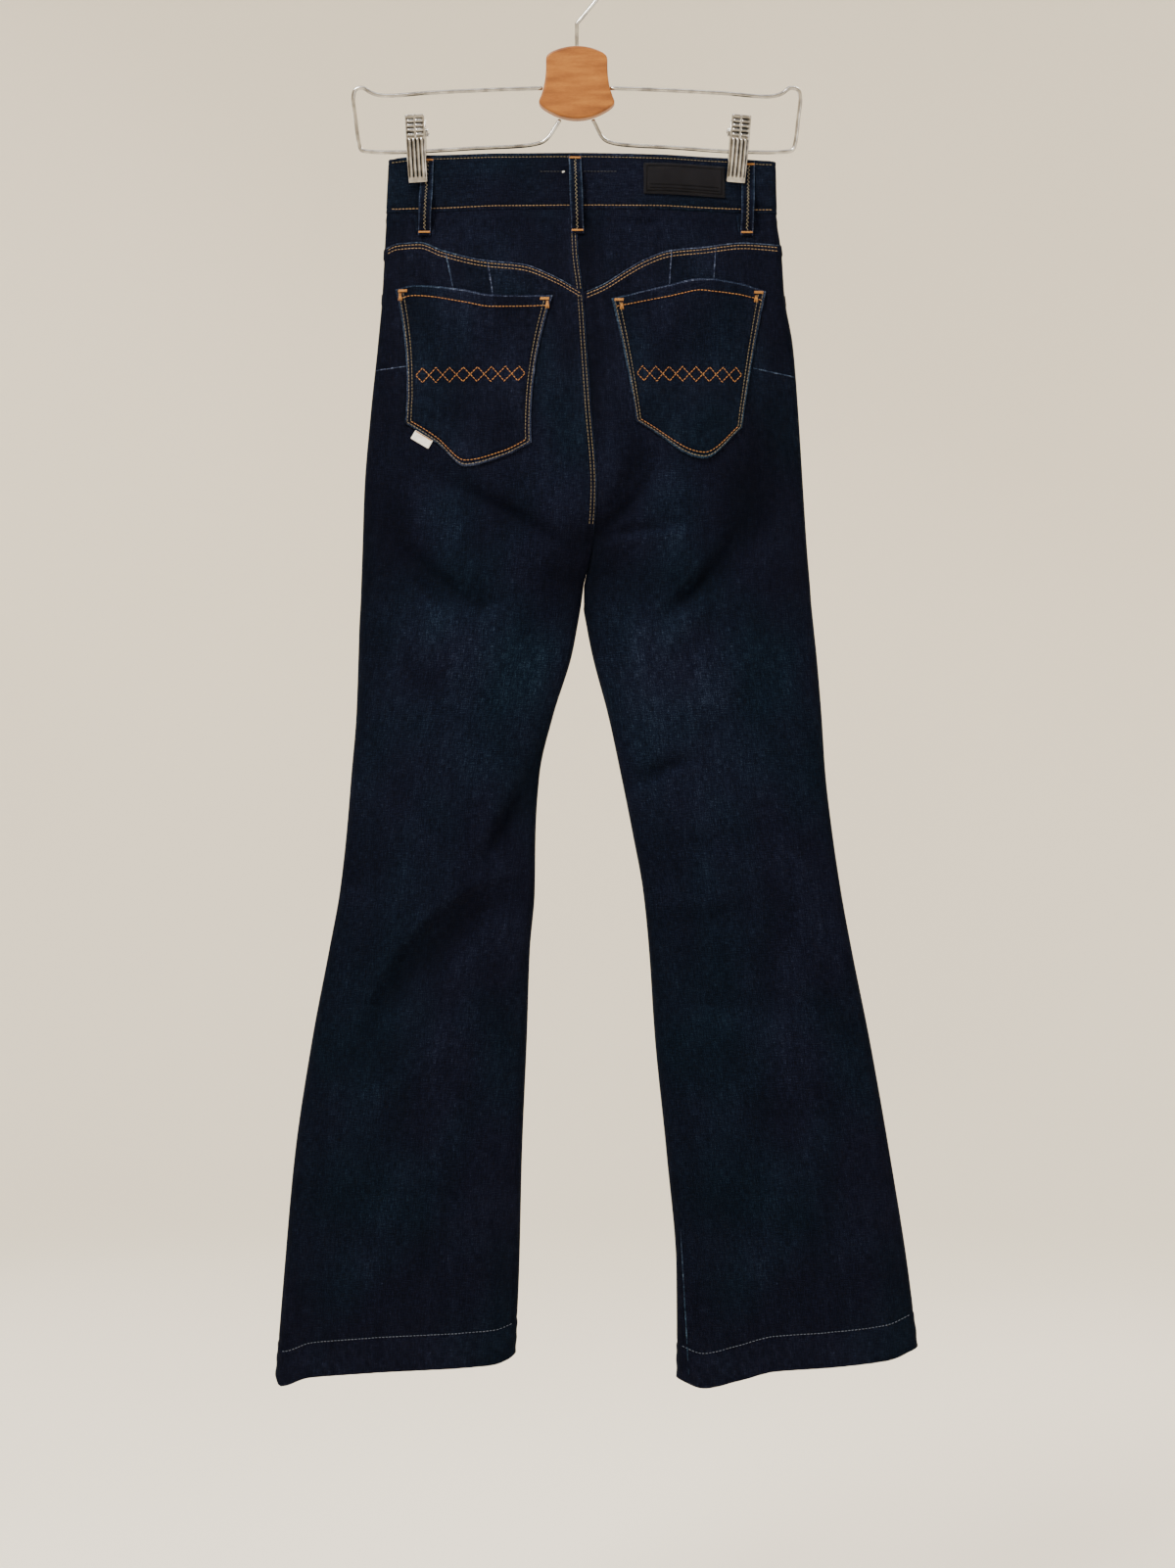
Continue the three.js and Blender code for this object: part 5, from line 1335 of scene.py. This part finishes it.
def build_jaw(clip, face, grip, chrome, replaces):
    plate = table_curve(((CLIP["foot"], grip + JAW["lip"]), (JAW["bend"], JAW["bend_away"]),
                         (JAW["bulge"], JAW["bulge_away"]), (CLIP["top"], JAW["top_away"])))
    edge_at = (CLIP["foot"], JAW["grip_top"], JAW["cheek_foot"], JAW["cheek_top"], CLIP["top"])
    edge_away = (grip, grip, JAW["cheek"], JAW["cheek"], JAW["shoulder_away"])
    heights = np.linspace(CLIP["foot"], CLIP["top"], 84)
    half, corner = CLIP["width"] / 2, 1.8
    flat = np.linspace(-1, 1, 49) * (half - corner)
    turn = np.linspace(0, np.pi / 2, 5)[1:]
    grids, grooves = [], []
    for inset in (0.0, CLIP["sheet"]):
        rows = []
        for h in heights:
            out = float(plate(h)) - inset
            free = float(np.interp(h, edge_at, edge_away))
            r = corner - inset
            cheek = half - inset
            corner_x = half - corner + r * np.sin(turn)
            corner_y = out - r * (1 - np.cos(turn))
            low = np.linspace(out - r, min(free, out - r - 0.2), 7)[1:]
            x = np.concatenate([np.full(6, -cheek), -corner_x[::-1], flat, corner_x, np.full(6, cheek)])
            y = np.concatenate([low[::-1], corner_y[::-1], np.full(len(flat), out), corner_y, low])
            if inset == 0:
                grooves.append(jaw_groove_shade(x, h))
                y = y + jaw_relief(x, h)
            rows.append(np.stack([x, face * y, np.full_like(x, h)], 1))
        grids.append(np.array(rows))
    points, faces, source = shell(grids[0], grids[1], 3)
    name = f"{clip[0]}_{'outer' if face == BACK else 'inner'}_shell"
    # Painted shade between the ribs and ridges, carried by the shade attribute.
    shade = -np.array(grooves).ravel()[source]
    mesh = make_mesh(name, clip_place(points, clip), [faces], {"shade": shade})
    piece = add_piece(name, mesh, chrome, replaces)
    build_lip(clip, face, grip, chrome)
    return piece


def jaw_relief(x, h):
    """Four upright ribs on the lower half, and ridges split by a bright column on the upper half."""
    ribs = sum(np.exp(-(((x - (i - 1.5) * CLIP["rib_step"]) / 0.75) ** 4)) for i in range(4))
    low = smooth(CLIP["foot"] + 3, CLIP["foot"] + 5, h) * smooth(8.8, 7.6, h)
    rows = sum(np.exp(-(((h - at) / 0.9) ** 4)) for at in CLIP_RIDGES)
    reach = CLIP["ridge_width"] / 2
    split = smooth(0.7, 1.3, np.abs(x)) * smooth(reach + 0.4, reach - 0.4, np.abs(x))
    column = 0.9 * np.exp(-((x / 0.6) ** 4)) * smooth(9.4, 10.4, h)
    return CLIP["rib"] * (ribs * low + rows * split + column)


def jaw_groove_shade(x, h):
    """How much painted shade darkens the clip's outer face between its ribs and ridges, from 0 to 1."""
    ribs = sum(np.exp(-(((x - (i - 1.5) * CLIP["rib_step"]) / 1.15) ** 4)) for i in range(4))
    low = smooth(CLIP["foot"] + 3, CLIP["foot"] + 5, h) * smooth(8.8, 7.6, h)
    rows = sum(np.exp(-(((h - at) / 1.3) ** 4)) for at in CLIP_RIDGES)
    high = smooth(9.6, 10.6, h) * smooth(CLIP["top"] - 2, CLIP["top"] - 3.4, h)
    inside = smooth(CLIP["width"] / 2 - 0.8, CLIP["width"] / 2 - 1.6, np.abs(x))
    column = np.exp(-((x / 0.9) ** 4))
    return inside * (low * (1 - ribs) + high * np.clip(1 - rows - column, 0, 1))


def build_lip(clip, face, grip, chrome):
    """The rolled lip that grips the cloth at a jaw's foot."""
    across = np.linspace(-CLIP["width"] / 2 + 0.4, CLIP["width"] / 2 - 0.4, 60)
    angle = np.arange(12) * 2 * np.pi / 12
    teeth = 1 + 0.1 * np.sin(across * 2 * np.pi / 1.5)
    ring_y = grip + 0.45 + 1.1 + 1.0 * np.cos(angle)[None] * teeth[:, None]
    ring_z = CLIP["foot"] + 1.5 + 1.3 * np.sin(angle)[None] * teeth[:, None]
    grid = np.stack([np.broadcast_to(across[:, None], ring_y.shape), face * ring_y, ring_z], 2)
    count = len(angle)
    caps = np.array([np.arange(count), (len(across) - 1) * count + np.arange(count)[::-1]])
    faces = grid_faces(len(across), count, closed=True)
    name = f"{clip[0]}_{'outer' if face == BACK else 'inner'}_lip"
    mesh = make_mesh(name, clip_place(grid.reshape(-1, 3), clip), [faces, caps])
    return add_piece(name, mesh, chrome)


def build_clip_core(clip, side, chrome):
    inner = WIRE_RADIUS + CLIP["slack"]
    half, outer = CLIP["sleeve_half"], CLIP["sleeve"]
    profile = np.array([(inner, -half), (outer - 0.5, -half), (outer, -half + 0.5), (outer, half - 0.5),
                        (outer - 0.5, half), (inner, half)])
    turn = np.arange(28) * 2 * np.pi / 28
    radius, place = profile[:, 0], profile[:, 1]
    grid = np.stack([np.broadcast_to(place[:, None], (6, 28)), radius[:, None] * np.cos(turn)[None],
                     radius[:, None] * np.sin(turn)[None]], 2)
    faces = grid_faces(6, 28, closed=True)
    first, last = np.arange(28), 5 * 28 + np.arange(28)
    bore = np.stack([last, np.roll(last, -1), np.roll(first, -1), first], 1)
    name = f"{clip[0]}_bush"
    mesh = make_mesh(name, clip_place(grid.reshape(-1, 3), clip), [faces, bore])
    add_piece(name, mesh, chrome, (f"{clip[0]}_sleeve",))
    turns = 9
    t = np.linspace(0, 1, turns * 20)
    angle = 2 * np.pi * turns * t
    path = np.stack([mix(-6.8, 6.8, t) + side * 4.6, 3.1 * np.cos(angle), 16.5 + 3.1 * np.sin(angle)], 1)
    tube(f"{clip[0]}_spring", clip_place(path, clip), 0.62, 8, chrome)


def build_hanger(chrome, beech):
    tube("hook_wire", hook_path(), HOOK["wire"], 20, chrome, ("hanger_hook",))
    build_block(beech)
    for side, word in ((LEFT, "left"), (RIGHT, "right")):
        path = centripetal([(x, 0, z) for x, z in WIRES[side]], 10)
        tube(f"frame_wire_{word}", path, WIRE_RADIUS, 16, chrome, (f"hanger_wire_{word}",))
    cloth_face = WAIST_CLOTH + GAP
    for clip, side in zip(CLIPS, (RIGHT, LEFT)):
        build_jaw(clip, BACK, cloth_face + LOOP_SEAT + LOOP_CLOTH + GAP, chrome, (f"{clip[0]}_back_jaw",))
        build_jaw(clip, FRONT, cloth_face + GAP, chrome, (f"{clip[0]}_front_jaw",))
        build_clip_core(clip, side, chrome)


def build_button(brass):
    radius, height = BUTTON["radius"], BUTTON["height"]
    profile = table_curve(((0, 0), (0.2, 0.02), (0.35, 0.45), (0.5, 0.5), (0.62, 0.62), (0.74, 0.98),
                           (0.82, 0.9), (0.9, 0.86), (1, 0.86)))
    reach = table_curve(((0, 0.5), (0.3, 0.55), (0.42, 0.9), (0.5, 1), (0.62, 1), (0.72, 0.9),
                         (0.8, 0.72), (0.9, 0.35), (1, 0.001)))
    t = np.linspace(0, 1, 46)
    turn = np.arange(56) * 2 * np.pi / 56
    button_at = [np.array([float(BUTTON[key])]) for key in ("x", "z")]
    seat = float(half_depth(RIGHT, FRONT, *button_at)[0])
    base = seat + GAP / 2 + WAIST_RAISE + GAP
    out = radius * reach(t)[:, None]
    dimples = 0.12 * np.exp(-(((t - 0.86) / 0.05) ** 2))[:, None] * np.cos(turn * 12)[None]
    grid = np.stack([BUTTON["x"] + out * np.cos(turn)[None], base + height * profile(t)[:, None] + dimples,
                     BUTTON["z"] + out * np.sin(turn)[None]], 2)
    faces = grid_faces(46, 56, closed=True)
    caps = np.array([np.arange(56), 45 * 56 + np.arange(56)[::-1]])
    mesh = make_mesh("shank_button", grid.reshape(-1, 3), [faces[:, ::-1], caps])
    return add_piece("shank_button", mesh, brass, ("waist_button",))


def srgb(red, green, blue):
    """A linear colour from eight-bit display values."""
    parts = [value / 255 for value in (red, green, blue)]
    linear = [v / 12.92 if v <= 0.04045 else ((v + 0.055) / 1.055) ** 2.4 for v in parts]
    return (*linear, 1.0)


class Shade:
    """A material's node tree, built one node at a time."""

    def __init__(self, name, **surface):
        self.material = bpy.data.materials.new(name)
        self.material.use_nodes = True
        self.tree = self.material.node_tree
        self.shader = self.tree.nodes["Principled BSDF"]
        for key, value in surface.items():
            self.shader.inputs[key.replace("_", " ")].default_value = value

    def node(self, kind, inputs=None, **settings):
        node = self.tree.nodes.new(kind)
        for key, value in settings.items():
            setattr(node, key, value)
        for key, value in (inputs or {}).items():
            if isinstance(value, bpy.types.NodeSocket):
                self.tree.links.new(value, node.inputs[key])
            else:
                node.inputs[key].default_value = value
        return node

    def math(self, operation, a, b=0.0):
        return self.node("ShaderNodeMath", {0: a, 1: b}, operation=operation).outputs[0]

    def noise(self, vector, scale, detail=2.0, roughness=0.5):
        sockets = {"Vector": vector, "Scale": scale, "Detail": detail, "Roughness": roughness}
        return self.node("ShaderNodeTexNoise", sockets).outputs[0]

    def stretch(self, vector, x, y, z):
        sockets = {"Vector": vector, "Scale": (x, y, z)}
        return self.node("ShaderNodeMapping", sockets).outputs[0]

    def ramp(self, factor, *stops):
        node = self.node("ShaderNodeValToRGB", {"Fac": factor})
        points = node.color_ramp.elements
        while len(points) < len(stops):
            points.new(1.0)
        for point, (place, color) in zip(points, stops):
            point.position = place
            point.color = color
        return node.outputs[0]

    def blend(self, factor, first, second):
        node = self.node("ShaderNodeMix", data_type="RGBA")
        for key, socket in ((0, factor), (6, first), (7, second)):
            self.tree.links.new(socket, node.inputs[key])
        return node.outputs[2]

    def level(self, value, low, high, start, end):
        sockets = {"Value": value, "From Min": low, "From Max": high, "To Min": start, "To Max": end}
        return self.node("ShaderNodeMapRange", sockets).outputs[0]

    def surface(self, key, socket):
        self.tree.links.new(socket, self.shader.inputs[key])

    def bump(self, height, distance, strength=1.0):
        sockets = {"Height": height, "Distance": distance, "Strength": strength}
        self.surface("Normal", self.node("ShaderNodeBump", sockets).outputs[0])


def denim_material():
    cloth_look = Shade("denim_weave", Roughness=0.82, Sheen_Weight=0.02, Sheen_Roughness=0.5,
                       Sheen_Tint=srgb(120, 150, 210), Specular_IOR_Level=0.03)
    weave = cloth_look.node("ShaderNodeAttribute", attribute_name="weave").outputs["Vector"]
    wear_and_painted_light = cloth_look.node("ShaderNodeAttribute", attribute_name="shade").outputs["Fac"]
    split = cloth_look.node("ShaderNodeSeparateXYZ", {0: weave})
    u, v = split.outputs[0], split.outputs[1]
    sway = cloth_look.noise(cloth_look.stretch(weave, 900, 260, 1), 1.0, 2.0)
    diagonal = cloth_look.math("ADD", *(cloth_look.math("MULTIPLY", at, 6600.0) for at in (u, v)))
    phase = cloth_look.math("ADD", diagonal, cloth_look.math("MULTIPLY", sway, 4.0))
    twill = cloth_look.math("SINE", phase)
    twill = cloth_look.level(twill, -1.0, 1.0, 0.0, 1.0)
    warp = cloth_look.noise(cloth_look.stretch(weave, 1150, 130, 1), 1.0, 3.0, 0.65)
    weft = cloth_look.noise(cloth_look.stretch(weave, 150, 1150, 1), 1.0, 3.0, 0.65)
    speck = cloth_look.noise(cloth_look.stretch(weave, 1300, 1300, 1), 1.0, 2.0, 0.7)
    slub = cloth_look.noise(cloth_look.stretch(weave, 520, 26, 1), 1.0, 3.0, 0.6)
    broad = cloth_look.noise(cloth_look.stretch(weave, 95, 9, 1), 1.0, 2.0, 0.5)
    patchy = cloth_look.noise(cloth_look.stretch(weave, 22, 14, 1), 1.0, 3.0, 0.55)
    cast = cloth_look.noise(cloth_look.stretch(weave, 9, 6, 1), 1.0, 2.0, 0.5)
    # The shade attribute lightens and darkens the indigo: washed-out places and edge wear, together with
    # painted shade in the folds, the crotch and beside seams and painted highlights along raised edges.
    tone = cloth_look.math("MULTIPLY", wear_and_painted_light, 0.2)
    for value, low, high, amount in (
        (warp, 0.3, 0.75, 0.4),
        (weft, 0.3, 0.75, 0.4),
        (speck, 0.3, 0.8, 0.5),
        (slub, 0.35, 0.75, 0.12),
        (broad, 0.3, 0.7, 0.06),
        (patchy, 0.3, 0.7, 0.16),
        (twill, 0.0, 1.0, 0.1),
    ):
        tone = cloth_look.math("ADD", tone, cloth_look.level(value, low, high, -0.3 * amount, 0.7 * amount))
    indigo = cloth_look.ramp(tone, (0.0, srgb(3, 4, 11)), (0.25, srgb(8, 10, 22)), (0.5, srgb(18, 22, 38)),
                             (0.75, srgb(48, 55, 75)), (1.0, srgb(98, 107, 126)))
    teal = cloth_look.ramp(tone, (0.0, srgb(2, 5, 11)), (0.25, srgb(5, 12, 22)), (0.5, srgb(13, 26, 39)),
                           (0.75, srgb(40, 60, 77)), (1.0, srgb(88, 112, 130)))
    color = cloth_look.blend(cloth_look.level(cast, 0.42, 0.66, 0.0, 0.8), indigo, teal)
    cloth_look.surface("Base Color", color)
    raised = [cloth_look.math("MULTIPLY", part, much) for part, much in ((twill, 0.5), (warp, 0.6))]
    height = cloth_look.math("ADD", *raised)
    height = cloth_look.math("ADD", height, cloth_look.math("MULTIPLY", weft, 0.4))
    cloth_look.bump(height, 0.00025, 0.8)
    return cloth_look.material


def thread_material(name, color, dark):
    look = Shade(name, Roughness=0.62, Sheen_Weight=0.2, Sheen_Roughness=0.4, Specular_IOR_Level=0.35)
    place = look.node("ShaderNodeTexCoord").outputs["Object"]
    fleck = look.noise(place, 900.0, 3.0, 0.6)
    wear_and_painted_light = look.noise(place, 60.0, 2.0)
    mixed = look.math("ADD", look.math("MULTIPLY", fleck, 0.7), look.math("MULTIPLY", wear_and_painted_light, 0.5))
    look.surface("Base Color", look.ramp(mixed, (0.3, dark), (0.75, color)))
    look.bump(look.noise(place, 2600.0, 2.0), 0.00012, 0.6)
    return look.material


def metal_material(name, color, dark, roughness):
    look = Shade(name, Metallic=1.0)
    place = look.node("ShaderNodeTexCoord").outputs["Object"]
    wear_and_painted_light = look.node("ShaderNodeAttribute", attribute_name="shade").outputs["Fac"]
    cloud = look.noise(place, 70.0, 4.0, 0.6)
    fine = look.noise(place, 900.0, 3.0, 0.6)
    # The shade attribute darkens the base colour: painted shade in the grooves of the clip's jaws.
    tone = look.math("ADD", cloud, look.math("MULTIPLY", wear_and_painted_light, 0.5))
    look.surface("Base Color", look.ramp(tone, (0.0, srgb(22, 21, 20)), (0.3, dark), (0.62, color)))
    look.surface("Roughness", look.level(fine, 0.3, 0.7, roughness * 0.75, roughness * 1.35))
    look.bump(look.math("ADD", cloud, look.math("MULTIPLY", fine, 0.25)), 0.00006, 0.5)
    return look.material


def beech_material():
    look = Shade("beech_grain", Roughness=0.45, Coat_Weight=0.12, Coat_Roughness=0.25,
                 Specular_IOR_Level=0.3)
    place = look.node("ShaderNodeTexCoord").outputs["Object"]
    rings = look.noise(look.stretch(place, 24, 120, 150), 1.0, 3.0, 0.5)
    flecks = look.noise(look.stretch(place, 320, 1200, 1900), 1.0, 2.0, 0.6)
    grain = look.math("ADD", look.math("MULTIPLY", rings, 0.8), look.math("MULTIPLY", flecks, 0.25))
    look.surface("Base Color", look.ramp(grain, (0.28, srgb(92, 46, 8)), (0.5, srgb(128, 74, 20)),
                                         (0.72, srgb(153, 97, 32))))
    look.bump(grain, 0.00015, 0.35)
    return look.material


def leather_material():
    look = Shade("patch_grain", Roughness=0.55, Specular_IOR_Level=0.05)
    place = look.node("ShaderNodeTexCoord").outputs["Object"]
    pebble = look.node("ShaderNodeTexVoronoi", {"Vector": place, "Scale": 1500.0}).outputs["Distance"]
    cloud = look.noise(place, 60.0, 4.0, 0.6)
    wear_and_painted_light = look.node("ShaderNodeAttribute", attribute_name="shade").outputs["Fac"]
    # The shade attribute lightens the patch's edges, a painted highlight, and darkens its pressed lines.
    tone = look.math("ADD", cloud, look.math("MULTIPLY", wear_and_painted_light, 0.45))
    look.surface("Base Color", look.ramp(tone, (0.0, srgb(2, 2, 3)), (0.3, srgb(14, 14, 17)),
                                         (0.7, srgb(21, 21, 25)), (1.0, srgb(48, 48, 54))))
    look.surface("Roughness", look.level(cloud, 0.3, 0.7, 0.55, 0.75))
    look.bump(look.math("ADD", pebble, cloud), 0.00008, 0.5)
    return look.material


def woven_material():
    look = Shade("tab_weave", Roughness=0.7, Sheen_Weight=0.15)
    weave = look.node("ShaderNodeAttribute", attribute_name="weave").outputs["Vector"]
    ribs = look.node("ShaderNodeTexWave", {"Vector": weave, "Scale": 700.0, "Distortion": 0.6},
                     bands_direction="DIAGONAL").outputs["Fac"]
    cloud = look.noise(weave, 260.0, 3.0)
    look.surface("Base Color", look.ramp(cloud, (0.3, srgb(200, 198, 192)), (0.7, srgb(234, 232, 226))))
    look.bump(ribs, 0.00012, 0.5)
    return look.material


def zip_material():
    look = Shade("zip_tape", Roughness=0.6)
    place = look.node("ShaderNodeTexCoord").outputs["Object"]
    cloud = look.noise(place, 300.0, 3.0)
    look.surface("Base Color", look.ramp(cloud, (0.3, srgb(120, 98, 58)), (0.7, srgb(168, 140, 88))))
    look.surface("Metallic", look.level(cloud, 0.3, 0.7, 0.55, 0.8))
    look.bump(cloud, 0.0001, 0.4)
    return look.material


def backdrop_material():
    look = Shade("studio_paper", Roughness=0.95, Specular_IOR_Level=0.1, Emission_Strength=0.2,
                 Emission_Color=srgb(238, 228, 210))
    place = look.node("ShaderNodeTexCoord").outputs["Object"]
    cloud = look.noise(place, 0.7, 2.0)
    look.surface("Base Color", look.ramp(cloud, (0.3, srgb(232, 224, 208)), (0.7, srgb(238, 230, 215))))
    return look.material


def build_stage():
    """A pale floor that curves up into a round backdrop."""
    radius, cove, floor, top = 4.2, 1.2, -1.62, 3.4
    profile = [(r, floor) for r in np.linspace(0.02, radius - cove, 14)]
    profile += [(radius - cove + cove * math.sin(a), floor + cove * (1 - math.cos(a)))
                for a in np.linspace(0, np.pi / 2, 14)[1:]]
    profile += [(radius, z) for z in np.linspace(floor + cove, top, 8)[1:]]
    profile = np.array(profile)
    turn = np.arange(96) * 2 * np.pi / 96
    grid = np.stack([profile[:, :1] * np.cos(turn)[None], profile[:, :1] * np.sin(turn)[None],
                     np.broadcast_to(profile[:, 1:], (len(profile), 96))], 2) / MM
    faces = grid_faces(len(profile), 96, closed=True)
    mesh = make_mesh("backdrop", grid.reshape(-1, 3), [faces, np.arange(96)[None]])
    backdrop = bpy.data.objects.new("backdrop", mesh)
    bpy.context.scene.collection.objects.link(backdrop)
    mesh.materials.append(backdrop_material())


def area_light(name, place, aim, size, power, color):
    data = bpy.data.lights.new(name, "AREA")
    data.shape = "RECTANGLE"
    data.size, data.size_y = size
    data.energy = power
    data.color = color
    light = bpy.data.objects.new(name, data)
    light.location = place
    direction = np.array(aim, float) - np.array(place, float)
    light.rotation_euler = Vector(direction).to_track_quat("-Z", "Y").to_euler()
    bpy.context.scene.collection.objects.link(light)


def build_lights():
    middle = (0, 0, -0.7)
    area_light("key", (-1.1, -1.5, 1.7), (0, 0, -0.6), (0.9, 0.9), 130, (1.0, 0.97, 0.93))
    area_light("fill", (1.9, -1.8, -0.4), middle, (1.6, 1.8), 20, (0.95, 0.97, 1.0))
    area_light("top", (0.2, -0.4, 2.2), middle, (1.6, 1.2), 24, (1.0, 0.98, 0.95))
    area_light("far_key", (1.1, 1.5, 1.7), (0, 0, -0.6), (0.9, 0.9), 110, (1.0, 0.97, 0.93))
    area_light("far_fill", (-2.0, 1.6, -0.4), middle, (1.6, 1.8), 18, (0.95, 0.97, 1.0))
    world = bpy.data.worlds.new("studio")
    bpy.context.scene.world = world
    world.use_nodes = True
    background = world.node_tree.nodes["Background"]
    background.inputs["Color"].default_value = srgb(214, 212, 206)
    background.inputs["Strength"].default_value = 0.5


def build_camera():
    data = bpy.data.cameras.new("photo_view")
    data.sensor_width = 36
    data.lens = 61.1
    data.clip_end = 50
    camera = bpy.data.objects.new("photo_view", data)
    camera.location = (0.0097, -2.40, -0.740)
    camera.rotation_euler = (math.pi / 2, 0, 0)
    bpy.context.scene.collection.objects.link(camera)
    bpy.context.scene.camera = camera


build_camera()
denim = denim_material()
chrome = metal_material("chrome_plate", srgb(186, 184, 181), srgb(118, 115, 112), 0.17)
brass = metal_material("aged_brass", srgb(150, 108, 66), srgb(86, 58, 36), 0.38)
build_panels(denim)
build_pockets(denim)
build_facings(denim)
build_fly(denim, zip_material())
build_waistband(denim)
build_loops(denim)
build_patch(leather_material())
build_tab(woven_material())
build_button(brass)
build_hanger(chrome, beech_material())
build_beads(denim)
sew_panels()
sew_waistband()
sew_pockets()
sew_fly()
sew_loops()
for colour, shown, dark in (
    ("gold", srgb(172, 116, 46), srgb(104, 64, 26)),
    ("straw", srgb(150, 120, 78), srgb(88, 66, 38)),
    ("khaki", srgb(112, 98, 68), srgb(60, 50, 34)),
    ("tan", srgb(132, 122, 98), srgb(72, 64, 50)),
    ("grey", srgb(84, 92, 108), srgb(44, 49, 62)),
    ("dark", srgb(12, 13, 17), srgb(6, 7, 10)),
    ("pale", srgb(206, 206, 204), srgb(170, 170, 170)),
):
    build_thread(f"stitches_{colour}", sewn[colour], thread_material(f"thread_{colour}", shown, dark))
build_stage()
build_lights()
